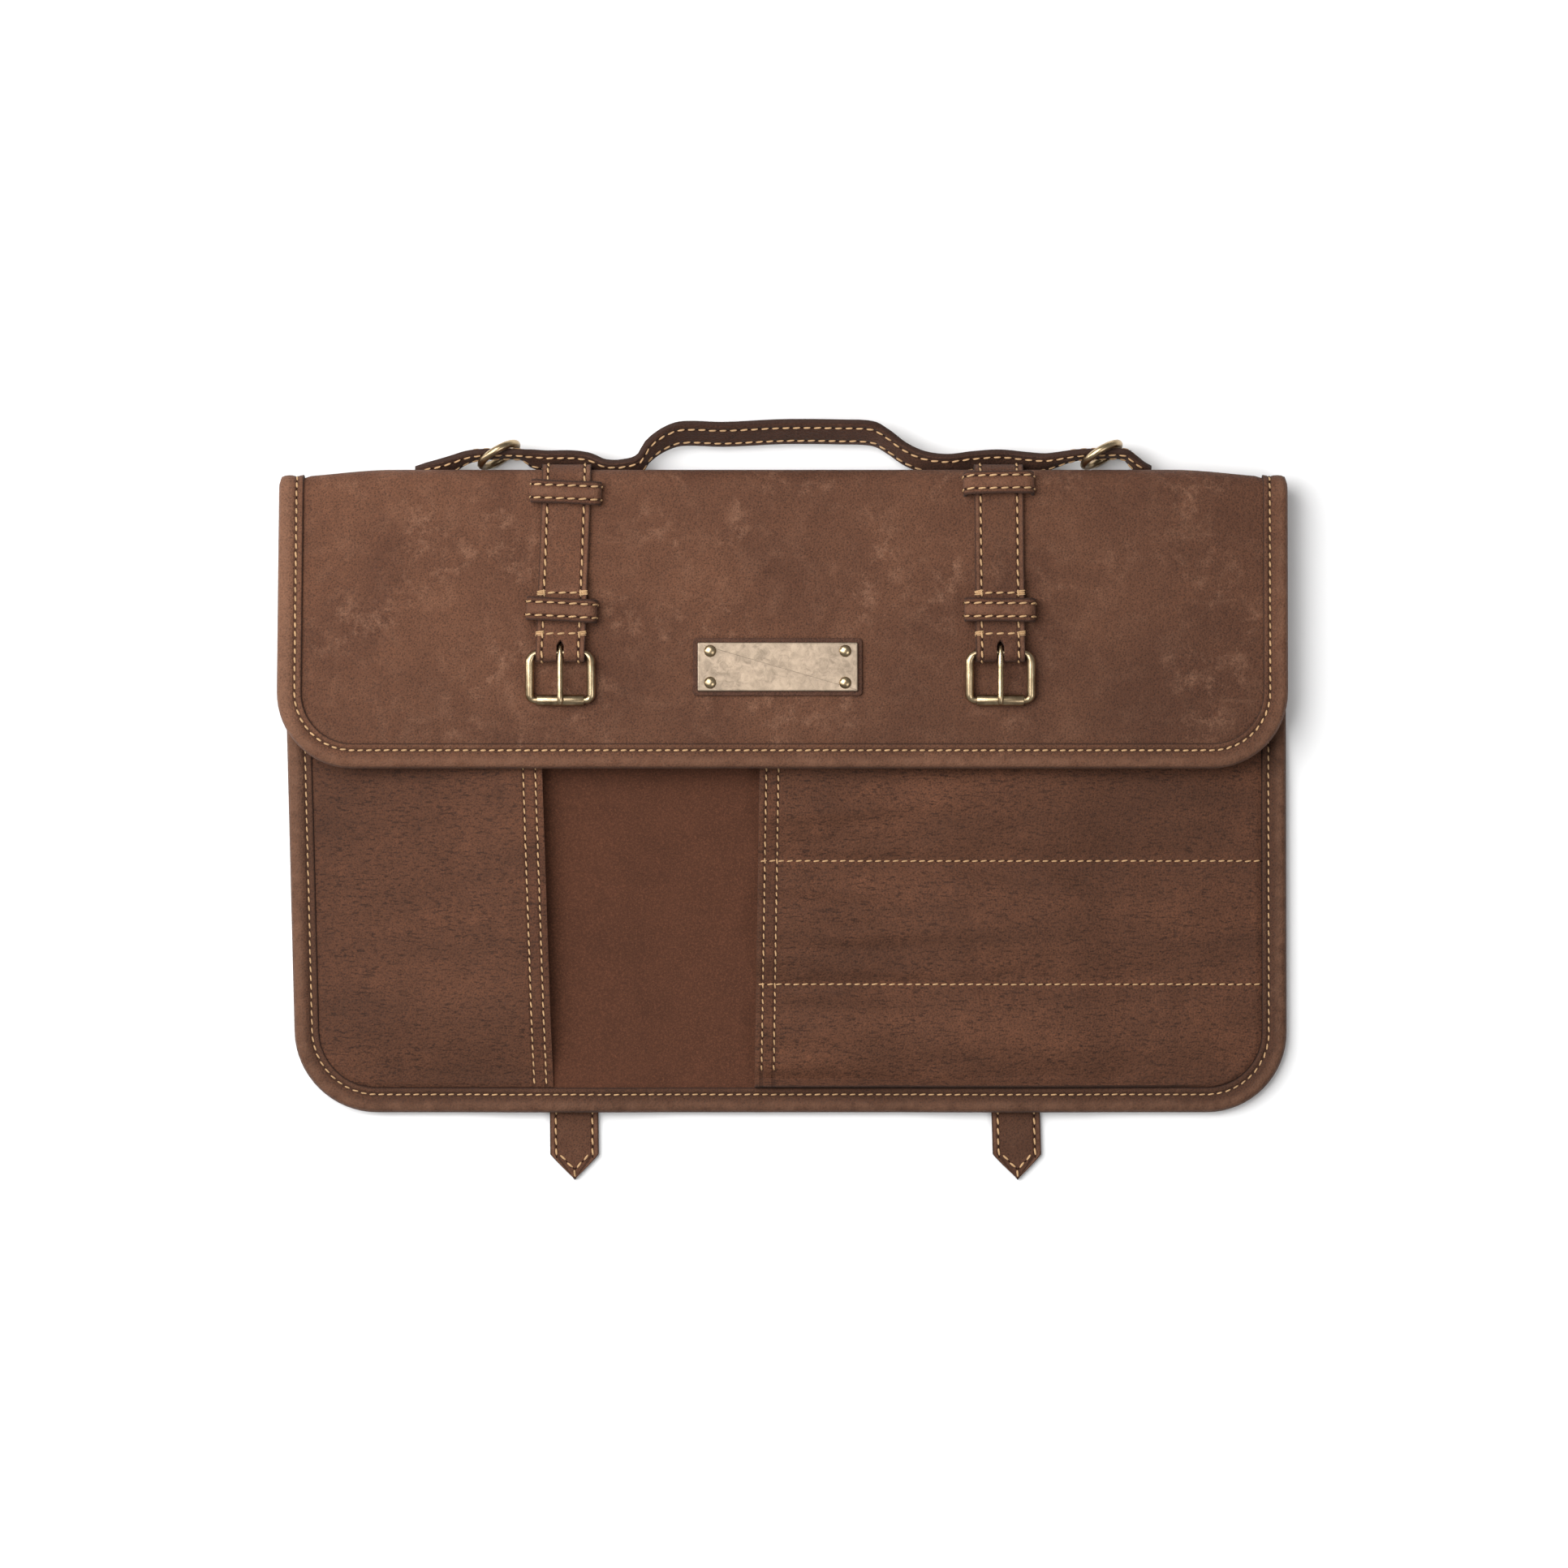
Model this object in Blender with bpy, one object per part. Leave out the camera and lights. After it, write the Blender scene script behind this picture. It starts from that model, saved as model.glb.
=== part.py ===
"""Leather knife roll, lying open on its back with its flap folded over the top edge.

Metres, +Z up, +Y towards the carrying handle, +X to the right as the roll is looked at from above.
The origin is on the surface that the roll lies on, below the middle of the roll.
The leather sheet is described by stations: along the base, round the spine fold and along the flap.
"""

from math import cos, hypot, pi, radians, sin, sqrt

import bmesh
import bpy
from mathutils import Matrix, Vector

# Sheet
GAP = 0.0003
SHELL_THICK = 0.0018
LINING_THICK = 0.0010
BINDING_THICK = 0.0010
BINDING_WIDTH = 0.0103
ROLL_WIDTH = 0.4166
BASE_BOTTOM_Y = -0.1287
FLAP_BOTTOM_Y = 0.0130
SPINE_Y = 0.1358
BASE_CORNER = 0.0333
FLAP_CORNER = 0.0317
SPINE_RISE_LOW = 0.0100
SPINE_RISE_HIGH = 0.0075
SPINE_REACH_LOW = 0.0150
SPINE_REACH_HIGH = 0.0090
FLAP_DROOP = 0.0030
DROOP_START = 0.1550

# Straps
STRAP_WIDTH = 0.0200
STRAP_THICK = 0.0019
STRAP_LEFT_X = -0.0913
STRAP_RIGHT_X = 0.0889
STRAP_LEFT_DRIFT = 0.0053
STRAP_RIGHT_DRIFT = 0.0078
STRAP_BEYOND_BASE = 0.0273
STRAP_POINT = 0.0100
STRAP_LOOP_END_Y = 0.0567
STRAP_TURN_IN = 0.0270
STRAP_RAMP = 0.0080
STRAP_SLOT_WIDTH = 0.0046
STRAP_SLOT_REACH = 0.0060
SAG_FLAT = 0.0200
SAG_RUN = 0.0270

# Keepers
KEEPER_LENGTH = 0.0087
KEEPER_THICK = 0.0013
KEEPER_SIDE = 0.0045
KEEPER_ROOM = 0.0026
KEEPER_CORNER = 0.0030
LOWER_KEEPER_Y = 0.0780
LEFT_KEEPER_Y = 0.1262
RIGHT_KEEPER_ANGLE = 75.0

# Buckles
WIRE_RADIUS = 0.0014
ROLLER_BAR_RADIUS = 0.00115
BUCKLE_WIDTH = 0.0280
BUCKLE_LENGTH = 0.0194
BUCKLE_TOP_CORNER = 0.0040
BUCKLE_LOW_CORNER = 0.0023
ROLLER_RADIUS = 0.0021
ROLLER_BORE = 0.0015
ROLLER_LENGTH = 0.0192
PRONG_RADIUS = 0.00125
PRONG_EYE_RADIUS = 0.0009
PRONG_BEYOND = 0.0014
LOOP_ROOM = 0.00035

# Pockets
POCKET_THICK = 0.0014
SEAM_FLAT = 0.0030
POCKET_TOP_Y = 0.1120
LEFT_MOUTH_X = -0.0985
LEFT_MOUTH_SLANT = 0.0078
RIGHT_MOUTH_X = -0.0100
RIGHT_MOUTH_SLANT = -0.0036
SLEEVE_SEAM_Y = -0.0250
SLEEVE_PITCH = 0.0508
SLEEVE_SHARE = 0.84
DIVIDER_FLAT = 0.0016

# Name plate
PLATE_LENGTH = 0.0657
PLATE_HEIGHT = 0.0200
PLATE_THICK = 0.0011
PATCH_MARGIN = 0.0018
PATCH_THICK = 0.0012
PLATE_X = -0.0023
PLATE_Y = 0.0547
PLATE_BEVEL = 0.0005
PATCH_ROUND = 0.0016
RIVET_RADIUS = 0.0025
RIVET_RISE = 0.0012
RIVET_INSET_X = 0.0052
RIVET_INSET_Y = 0.0035

# Handle and rings
HANDLE_LENGTH = 0.3030
HANDLE_THICK = 0.0025
HANDLE_WIDTH = 0.0120
GRIP_WIDTH = 0.0160
RING_STRIP_WIDTH = 0.0100
GRIP_REACH = 0.0127
HANDLE_Z = 0.0075
GRIP_Z = 0.0110
HANDLE_LEAN = 38.0
GRIP_LEAN = 24.0
RING_LEAN = 14.5
RING_WIRE = 0.0016
RING_ROOM = 0.0016
RING_YAW = 60.0
RING_LEFT_SHARE = 0.114
RING_RIGHT_SHARE = 0.932

# Sheet edges, as shares of the roll's width from its middle line
EDGE_SHARES = {
    "base": {"left": -0.4818, "right": 0.4984},
    "spine": {"left": -0.4930, "right": 0.4970},
    "flap": {"left": -0.5000, "right": 0.4976},
}

# Handle strip along its length: how far each row follows the strap crest, the ring crest and the grip
HANDLE_ROWS = [
    {"along": 0.000, "strap": 0.0, "ring": 0.0, "grip": 0.0, "taper": 0.30},
    {"along": 0.016, "strap": 0.0, "ring": 0.0, "grip": 0.0, "taper": 0.72},
    {"along": 0.034, "strap": 0.0, "ring": 0.0, "grip": 0.0, "taper": 1.00},
    {"along": 0.052, "strap": 0.0, "ring": 0.1, "grip": 0.0, "taper": 1.00},
    {"along": 0.066, "strap": 0.0, "ring": 0.6, "grip": 0.0, "taper": 1.00},
    {"along": 0.080, "strap": 0.0, "ring": 1.0, "grip": 0.0, "taper": 1.00},
    {"along": 0.114, "strap": 0.0, "ring": 1.05, "grip": 0.0, "taper": 1.00},
    {"along": 0.146, "strap": 0.0, "ring": 1.0, "grip": 0.0, "taper": 1.00},
    {"along": 0.158, "strap": 1.0, "ring": 0.3, "grip": 0.0, "taper": 1.00},
    {"along": 0.180, "strap": 1.3, "ring": 0.0, "grip": 0.0, "taper": 1.00},
    {"along": 0.214, "strap": 1.3, "ring": 0.0, "grip": 0.0, "taper": 1.00},
    {"along": 0.238, "strap": 1.0, "ring": 0.0, "grip": 0.0, "taper": 1.00},
    {"along": 0.258, "strap": 0.3, "ring": 0.0, "grip": 0.0, "taper": 1.00},
    {"along": 0.282, "strap": 0.0, "ring": 0.0, "grip": 0.05, "taper": 1.00},
    {"along": 0.304, "strap": 0.0, "ring": 0.0, "grip": 0.16, "taper": 1.00},
    {"along": 0.316, "strap": 0.0, "ring": 0.0, "grip": 0.48, "taper": 1.00},
    {"along": 0.338, "strap": 0.0, "ring": 0.0, "grip": 0.8, "taper": 1.00},
    {"along": 0.362, "strap": 0.0, "ring": 0.0, "grip": 0.97, "taper": 1.00},
    {"along": 0.420, "strap": 0.0, "ring": 0.0, "grip": 0.95, "taper": 1.00},
    {"along": 0.500, "strap": 0.0, "ring": 0.0, "grip": 1.03, "taper": 1.00},
    {"along": 0.580, "strap": 0.0, "ring": 0.0, "grip": 1.02, "taper": 1.00},
    {"along": 0.622, "strap": 0.0, "ring": 0.0, "grip": 0.97, "taper": 1.00},
    {"along": 0.642, "strap": 0.0, "ring": 0.0, "grip": 0.74, "taper": 1.00},
    {"along": 0.664, "strap": 0.0, "ring": 0.0, "grip": 0.42, "taper": 1.00},
    {"along": 0.690, "strap": 0.2, "ring": 0.0, "grip": 0.18, "taper": 1.00},
    {"along": 0.722, "strap": 0.6, "ring": 0.0, "grip": 0.05, "taper": 1.00},
    {"along": 0.756, "strap": 1.2, "ring": 0.0, "grip": 0.0, "taper": 1.00},
    {"along": 0.793, "strap": 1.4, "ring": 0.0, "grip": 0.0, "taper": 1.00},
    {"along": 0.832, "strap": 1.1, "ring": 0.0, "grip": 0.0, "taper": 1.00},
    {"along": 0.856, "strap": 0.4, "ring": 0.0, "grip": 0.0, "taper": 1.00},
    {"along": 0.872, "strap": 0.1, "ring": 0.15, "grip": 0.0, "taper": 1.00},
    {"along": 0.886, "strap": 0.0, "ring": 0.6, "grip": 0.0, "taper": 1.00},
    {"along": 0.899, "strap": 0.0, "ring": 1.0, "grip": 0.0, "taper": 1.00},
    {"along": 0.932, "strap": 0.0, "ring": 1.05, "grip": 0.0, "taper": 1.00},
    {"along": 0.964, "strap": 0.0, "ring": 1.0, "grip": 0.0, "taper": 1.00},
    {"along": 0.976, "strap": 0.0, "ring": 0.5, "grip": 0.0, "taper": 0.90},
    {"along": 0.988, "strap": 0.0, "ring": 0.1, "grip": 0.0, "taper": 0.70},
    {"along": 1.000, "strap": 0.0, "ring": 0.0, "grip": 0.0, "taper": 0.35},
]

# Heights that follow from the stack of layers
SHEET_Z = STRAP_THICK + GAP + BINDING_THICK + GAP
EQUATOR_Z = SHEET_Z + SPINE_RISE_LOW
FLAP_Z = EQUATOR_Z + SPINE_RISE_HIGH
LINING_OUTER = SHELL_THICK + GAP
SHEET_STACK = LINING_OUTER + LINING_THICK
POCKET_FLOOR = SHEET_STACK + GAP
EDGE_INSET = BINDING_THICK + GAP
SAG = STRAP_THICK
FLAP_UNDER_Z = FLAP_Z - SHEET_STACK - GAP - BINDING_THICK
POCKET_CROWN = FLAP_UNDER_Z - GAP - POCKET_THICK - SHEET_Z - POCKET_FLOOR
BASE_SPINE_Y = SPINE_Y - SPINE_REACH_LOW
FLAP_SPINE_Y = SPINE_Y - SPINE_REACH_HIGH

# Buckle bar, from the strap loop that holds it
LOOP_RADIUS = WIRE_RADIUS + LOOP_ROOM + STRAP_THICK / 2
BAR_Y = STRAP_LOOP_END_Y + LOOP_RADIUS + STRAP_THICK / 2
LAYER_LOW = FLAP_Z + GAP + STRAP_THICK / 2
LAYER_HIGH = LAYER_LOW + STRAP_THICK + GAP
BAR_Z = LAYER_LOW + LOOP_RADIUS

# Ring, from the strip that it is threaded on
RING_RADIUS = hypot(RING_STRIP_WIDTH, HANDLE_THICK) / 2 + RING_ROOM + RING_WIRE
RING_STAND = RING_RADIUS * cos(radians(RING_YAW)) + RING_WIRE + 2 * GAP - HANDLE_THICK / 2

# Flat stretches of the base lie over the straps, and the base sags between them
STRAP_MIDDLES = (
    STRAP_LEFT_X + STRAP_LEFT_DRIFT / 2,
    STRAP_RIGHT_X + STRAP_RIGHT_DRIFT / 2,
)


def sag_knots():
    knots = []
    for middle in STRAP_MIDDLES:
        for reach in (-SAG_FLAT - SAG_RUN, -SAG_FLAT, SAG_FLAT, SAG_FLAT + SAG_RUN):
            knots.append(middle + reach)
    return knots


COLUMNS = sorted(sag_knots() + [-DROOP_START, DROOP_START, sum(STRAP_MIDDLES) / 2])


def sag(x):
    """How far the base hangs below its height over the straps."""
    away = min(abs(x - middle) for middle in STRAP_MIDDLES)
    return SAG * min(1.0, max(0.0, (away - SAG_FLAT) / SAG_RUN))


def droop(x):
    """How far the flap's ends hang down."""
    run = ROLL_WIDTH / 2 - DROOP_START
    return FLAP_DROOP * max(0.0, (abs(x) - DROOP_START) / run)


def base(y):
    return {"y": y, "z": SHEET_Z, "ny": 0.0, "nz": 1.0, "low": 1.0, "high": 0.0}


def flap(y):
    return {"y": y, "z": FLAP_Z, "ny": 0.0, "nz": -1.0, "low": 0.0, "high": 1.0}


def spine(degrees):
    """A station round the fold, from -90 at the base to 90 at the flap."""
    a = radians(degrees)
    lower = degrees < 0
    reach = SPINE_REACH_LOW if lower else SPINE_REACH_HIGH
    rise = SPINE_RISE_LOW if lower else SPINE_RISE_HIGH
    normal = Vector((-cos(a) / reach, -sin(a) / rise)).normalized()
    return {
        "y": SPINE_Y - reach + reach * cos(a),
        "z": EQUATOR_Z + rise * sin(a),
        "ny": normal.x,
        "nz": normal.y,
        "low": max(0.0, -sin(a)),
        "high": max(0.0, sin(a)),
    }


def on_sheet(x, station, depth):
    """A point of the sheet, the given depth inside its outer face."""
    z = station["z"] + station["nz"] * depth
    z -= sag(x) * station["low"] + droop(x) * station["high"]
    return Vector((x, station["y"] + station["ny"] * depth, z))


def edge_x(side, station):
    """The outer edge of the binding at a station."""
    spine_share = EDGE_SHARES["spine"][side]
    if station["low"] == 1.0:
        share = (BASE_SPINE_Y - station["y"]) / (BASE_SPINE_Y - BASE_BOTTOM_Y)
        end_share = EDGE_SHARES["base"][side]
    elif station["high"] == 1.0:
        share = (FLAP_SPINE_Y - station["y"]) / (FLAP_SPINE_Y - FLAP_BOTTOM_Y)
        end_share = EDGE_SHARES["flap"][side]
    else:
        share = 0.0
        end_share = spine_share
    return ROLL_WIDTH * (spine_share + share * (end_share - spine_share))


def pull_in(distance, radius):
    """How far a rounded corner draws the edge in at a distance from the end."""
    if distance >= radius:
        return 0.0
    return radius - sqrt(max(0.0, radius**2 - (radius - distance) ** 2))


def sheet_rows(inset):
    """Stations of the whole sheet with the corner's draw at each one."""
    rows = []
    steps = 5
    radius = BASE_CORNER - inset
    for i in range(steps + 1):
        distance = radius * (1 - cos(pi / 2 * i / steps))
        rows.append((base(BASE_BOTTOM_Y + inset + distance), pull_in(distance, radius)))
    rows.append((base(0.0), 0.0))
    rows.append((base(BASE_SPINE_Y), 0.0))
    rows += [(spine(angle), 0.0) for angle in range(-75, 90, 15)]
    rows.append((flap(FLAP_SPINE_Y), 0.0))
    radius = FLAP_CORNER - inset
    for i in range(steps, -1, -1):
        distance = radius * (1 - cos(pi / 2 * i / steps))
        rows.append((flap(FLAP_BOTTOM_Y + inset + distance), pull_in(distance, radius)))
    return rows


def clear_scene():
    for thing in list(bpy.data.objects):
        bpy.data.objects.remove(thing, do_unlink=True)


def make_material(name, colour, roughness, metallic):
    material = bpy.data.materials.new(name)
    material.use_nodes = True
    shader = material.node_tree.nodes["Principled BSDF"]
    shader.inputs["Base Color"].default_value = (*colour, 1.0)
    shader.inputs["Roughness"].default_value = roughness
    shader.inputs["Metallic"].default_value = metallic
    material.diffuse_color = (*colour, 1.0)
    return material


def add_object(name, data, material, location=(0, 0, 0), turn=(0, 0, 0), parent=None):
    data.materials.append(material)
    thing = bpy.data.objects.new(name, data)
    bpy.context.collection.objects.link(thing)
    thing.location = location
    thing.rotation_euler = turn
    thing.parent = parent
    return thing


def mesh_from(bm, name):
    bmesh.ops.recalc_face_normals(bm, faces=bm.faces)
    mesh = bpy.data.meshes.new(name)
    bm.to_mesh(mesh)
    bm.free()
    return mesh


def thicken(thing, thickness, offset):
    """Offset 1 grows the wall along the surface normals, -1 against them and 0 to both sides."""
    wall = thing.modifiers.new("Wall", "SOLIDIFY")
    wall.thickness = thickness
    wall.offset = offset
    wall.use_even_offset = True
    wall.use_rim = True


def grid_mesh(name, rows, holes=()):
    """An open surface through rows of points, with the cells named in holes left out."""
    bm = bmesh.new()
    points = [[bm.verts.new(p) for p in row] for row in rows]
    for i in range(len(rows) - 1):
        for j in range(len(rows[i]) - 1):
            if (i, j) not in holes:
                corners = (points[i][j], points[i][j + 1], points[i + 1][j + 1], points[i + 1][j])
                bm.faces.new(corners)
    mesh = bpy.data.meshes.new(name)
    bm.to_mesh(mesh)
    bm.free()
    return mesh


def build_sheet(name, depth, thickness, material):
    """A layer of the whole sheet; its rows run so that its normals point out of the fold."""
    rows = []
    for station, draw in sheet_rows(EDGE_INSET):
        left = edge_x("left", station) + EDGE_INSET + draw
        right = edge_x("right", station) - EDGE_INSET - draw
        across = [left, *COLUMNS, right]
        rows.append([on_sheet(x, station, depth) for x in reversed(across)])
    thing = add_object(name, grid_mesh(name, rows), material)
    thicken(thing, thickness, -1.0)
    return thing


def binding_stations():
    """Once round the sheet: the outer edge point and the way in from it."""
    loop = []
    steps = 6
    for side, sign in (("left", 1.0), ("right", -1.0)):
        half = []
        for i in range(steps + 1):
            a = pi / 2 * i / steps
            y = BASE_BOTTOM_Y + BASE_CORNER * (1 - cos(a))
            x = edge_x(side, base(y)) + sign * BASE_CORNER * (1 - sin(a))
            half.append((x, base(y), (sign * sin(a), cos(a))))
        for y in (0.0, BASE_SPINE_Y):
            half.append((edge_x(side, base(y)), base(y), (sign, 0.0)))
        for angle in range(-75, 90, 15):
            half.append((edge_x(side, spine(angle)), spine(angle), (sign, 0.0)))
        half.append((edge_x(side, flap(FLAP_SPINE_Y)), flap(FLAP_SPINE_Y), (sign, 0.0)))
        for i in range(steps, -1, -1):
            a = pi / 2 * i / steps
            y = FLAP_BOTTOM_Y + FLAP_CORNER * (1 - cos(a))
            x = edge_x(side, flap(y)) + sign * FLAP_CORNER * (1 - sin(a))
            half.append((x, flap(y), (sign * sin(a), cos(a))))
        loop.append(half)
    left, right = loop
    over_flap = [(x, flap(FLAP_BOTTOM_Y), (0.0, 1.0)) for x in COLUMNS]
    over_base = [(x, base(BASE_BOTTOM_Y), (0.0, 1.0)) for x in reversed(COLUMNS)]
    return left + over_flap + right[::-1] + over_base


def binding_section():
    """The folded band in section: distance in from its outer edge, depth in the sheet."""
    top = -GAP - BINDING_THICK
    low = SHEET_STACK + GAP + BINDING_THICK
    round_off = BINDING_THICK * 0.6
    return [
        (0.0, top + round_off),
        (round_off, top),
        (BINDING_WIDTH, top),
        (BINDING_WIDTH, -GAP),
        (BINDING_THICK, -GAP),
        (BINDING_THICK, SHEET_STACK + GAP),
        (BINDING_WIDTH, SHEET_STACK + GAP),
        (BINDING_WIDTH, low),
        (round_off, low),
        (0.0, low - round_off),
    ]


def build_binding(material):
    bm = bmesh.new()
    rings = []
    for x, station, (in_x, in_y) in binding_stations():
        ring = []
        for inward, depth in binding_section():
            moved = dict(station, y=station["y"] + in_y * inward)
            ring.append(bm.verts.new(on_sheet(x + in_x * inward, moved, depth)))
        rings.append(ring)
    for i, ring in enumerate(rings):
        following = rings[(i + 1) % len(rings)]
        for j in range(len(ring)):
            k = (j + 1) % len(ring)
            bm.faces.new((ring[j], ring[k], following[k], following[j]))
    return add_object("edge_binding", mesh_from(bm, "edge_binding"), material)


def pocket_point(x, y, rise):
    return on_sheet(x, base(y), POCKET_FLOOR + rise)


def mouth_x(y, middle, slant):
    """A mouth edge that slants by the given amount over the pocket's height."""
    low = BASE_BOTTOM_Y + BINDING_WIDTH + GAP
    return middle + slant * (0.5 - (y - low) / (POCKET_TOP_Y - low))


def corner_rows(count):
    """Heights through the rounded lower corner of a pocket, with the corner's draw."""
    low = BASE_BOTTOM_Y + BINDING_WIDTH + GAP
    radius = BASE_CORNER - BINDING_WIDTH - GAP
    rows = []
    for i in range(count):
        distance = radius * (1 - cos(pi / 2 * i / (count - 1)))
        rows.append((low + distance, pull_in(distance, radius)))
    return rows


def build_left_pocket(material):
    """One wide sleeve, sewn at the left, at the bottom and under the spine, open at its right edge."""
    low = BASE_BOTTOM_Y + BINDING_WIDTH + GAP
    heights = corner_rows(5)
    start = heights[-1][0]
    for share in (0.14, 0.34, 0.54, 0.74, 0.88, 0.95):
        heights.append((start + share * (POCKET_TOP_Y - SEAM_FLAT - start), 0.0))
    heights.append((POCKET_TOP_Y - SEAM_FLAT, 0.0))
    heights.append((POCKET_TOP_Y, 0.0))
    heights.insert(1, (low + SEAM_FLAT, pull_in(SEAM_FLAT, BASE_CORNER - BINDING_WIDTH - GAP)))
    heights.sort()
    rows = []
    for y, draw in heights:
        edge = edge_x("left", base(y)) + BINDING_WIDTH + GAP + draw
        mouth = mouth_x(y, LEFT_MOUTH_X, LEFT_MOUTH_SLANT)
        tall = (y - low - SEAM_FLAT) / (POCKET_TOP_Y - low - 2 * SEAM_FLAT)
        arch = sin(pi * min(1.0, max(0.0, tall))) ** 0.55 if 0 < tall < 1 else 0.0
        inner = [x for x in COLUMNS if edge < x < mouth - 0.002]
        across = [edge, edge + SEAM_FLAT, *inner, mouth]
        row = []
        for x in across:
            wide = max(0.0, (x - edge - SEAM_FLAT) / (mouth - edge - SEAM_FLAT))
            row.append(pocket_point(x, y, POCKET_CROWN * arch * sin(pi / 2 * wide) ** 0.8))
        rows.append(row)
    thing = add_object("left_pocket", grid_mesh("left_pocket", rows), material)
    thicken(thing, POCKET_THICK, 1.0)
    return thing


def sleeve_seams():
    """Divider seams, counted up and down from the upper one in sight."""
    seams = []
    low = BASE_BOTTOM_Y + BINDING_WIDTH + GAP
    y = SLEEVE_SEAM_Y
    while y - SLEEVE_PITCH > low + SLEEVE_PITCH / 3:
        y -= SLEEVE_PITCH
    while y < POCKET_TOP_Y - SLEEVE_PITCH / 3:
        seams.append(y)
        y += SLEEVE_PITCH
    return seams


def build_right_pocket(material):
    """A sheet sewn down along divider seams: a row of sleeves, open at their left end."""
    low = BASE_BOTTOM_Y + BINDING_WIDTH + GAP
    stops = [low, *sleeve_seams(), POCKET_TOP_Y]
    heights = []
    for i in range(len(stops) - 1):
        start = stops[i] + (SEAM_FLAT if i == 0 else DIVIDER_FLAT)
        end = stops[i + 1] - (SEAM_FLAT if i == len(stops) - 2 else DIVIDER_FLAT)
        if i == 0:
            heights.append((stops[0], 0.0))
        for share in (0.0, 0.12, 0.3, 0.5, 0.7, 0.88, 1.0):
            heights.append((start + share * (end - start), sin(pi * share) ** 0.8))
    heights.append((POCKET_TOP_Y, 0.0))
    radius = BASE_CORNER - BINDING_WIDTH - GAP
    rows = []
    for y, arch in heights:
        edge = edge_x("right", base(y)) - BINDING_WIDTH - GAP - pull_in(y - low, radius)
        mouth = mouth_x(y, RIGHT_MOUTH_X, RIGHT_MOUTH_SLANT)
        inner = [x for x in COLUMNS if mouth + 0.002 < x < edge - SEAM_FLAT]
        across = [mouth, *inner, edge - SEAM_FLAT, edge]
        row = []
        for x in across:
            deep = max(0.0, (edge - SEAM_FLAT - x) / (edge - SEAM_FLAT - mouth))
            crown = POCKET_CROWN * SLEEVE_SHARE * arch * (0.3 + 0.7 * deep) * min(1.0, 8 * deep)
            row.append(pocket_point(x, y, crown))
        rows.append(row)
    thing = add_object("right_pocket", grid_mesh("right_pocket", rows), material)
    thicken(thing, POCKET_THICK, 1.0)
    return thing


def strap_path():
    """Middle line of a strap from its turned-in end round the buckle bar to its point.

    Each row has y, z, the share of the drift, the share of the width and whether the slot is open.
    """
    turn_y = BAR_Y + STRAP_TURN_IN
    slot_y = BAR_Y + STRAP_SLOT_REACH
    meet_y = slot_y + STRAP_SLOT_REACH / 2
    rows = [(turn_y, LAYER_LOW, 0.0, 1.0, False), (slot_y, LAYER_LOW, 0.0, 1.0, True)]
    steps = 8
    for i in range(steps + 1):
        a = pi / 2 + pi * i / steps
        rows.append((BAR_Y + LOOP_RADIUS * cos(a), BAR_Z - LOOP_RADIUS * sin(a), 0.0, 1.0, True))
    loop_top = BAR_Z + LOOP_RADIUS
    slope = (LAYER_HIGH - loop_top) / (meet_y - BAR_Y)
    rows.append((slot_y, loop_top + slope * (slot_y - BAR_Y), 0.0, 1.0, False))
    rows.append((meet_y, LAYER_HIGH, 0.0, 1.0, False))
    rows.append((turn_y + 2 * GAP, LAYER_HIGH, 0.0, 1.0, False))
    rows.append((turn_y + STRAP_RAMP, LAYER_LOW, 0.0, 1.0, False))
    rows.append((FLAP_SPINE_Y, LAYER_LOW, 0.0, 1.0, False))
    out = GAP + STRAP_THICK / 2
    under = SHEET_Z - STRAP_THICK / 2
    for angle in range(75, -90, -15):
        station = spine(angle)
        depth = -out - (under - out) * station["low"]
        point = on_sheet(STRAP_MIDDLES[0], station, depth)
        rows.append((point.y, point.z, 0.0, 1.0, False))
    rows.append((BASE_SPINE_Y, STRAP_THICK / 2, 0.0, 1.0, False))
    point_y = BASE_BOTTOM_Y - STRAP_BEYOND_BASE
    shoulder_y = point_y + STRAP_POINT
    for y, width in ((shoulder_y, 1.0), (point_y + STRAP_POINT * 0.42, 0.62), (point_y, 0.10)):
        drift = (BASE_SPINE_Y - y) / (BASE_SPINE_Y - point_y)
        rows.append((y, STRAP_THICK / 2, drift, width, False))
    return rows


def build_strap(name, middle, drift, material):
    columns = (-STRAP_WIDTH / 2, -STRAP_SLOT_WIDTH / 2, STRAP_SLOT_WIDTH / 2, STRAP_WIDTH / 2)
    path = strap_path()
    rows = []
    holes = set()
    for i, (y, z, drifted, width, open_slot) in enumerate(path):
        rows.append([Vector((middle + drift * drifted + c * width, y, z)) for c in columns])
        if open_slot:
            holes.add((i, 1))
    thing = add_object(name, grid_mesh(name, rows, holes), material)
    thicken(thing, STRAP_THICK, 0.0)
    return thing


def keeper_arch(rise):
    """Half section of a keeper's middle line, from its foot up and over to the middle."""
    half = STRAP_WIDTH / 2 + KEEPER_SIDE - KEEPER_THICK / 2
    points = [(half, 0.0)]
    for i in range(5):
        a = pi / 2 * i / 4
        x = half - KEEPER_CORNER * (1 - cos(a))
        points.append((x, rise - KEEPER_CORNER * (1 - sin(a))))
    return points


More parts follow.
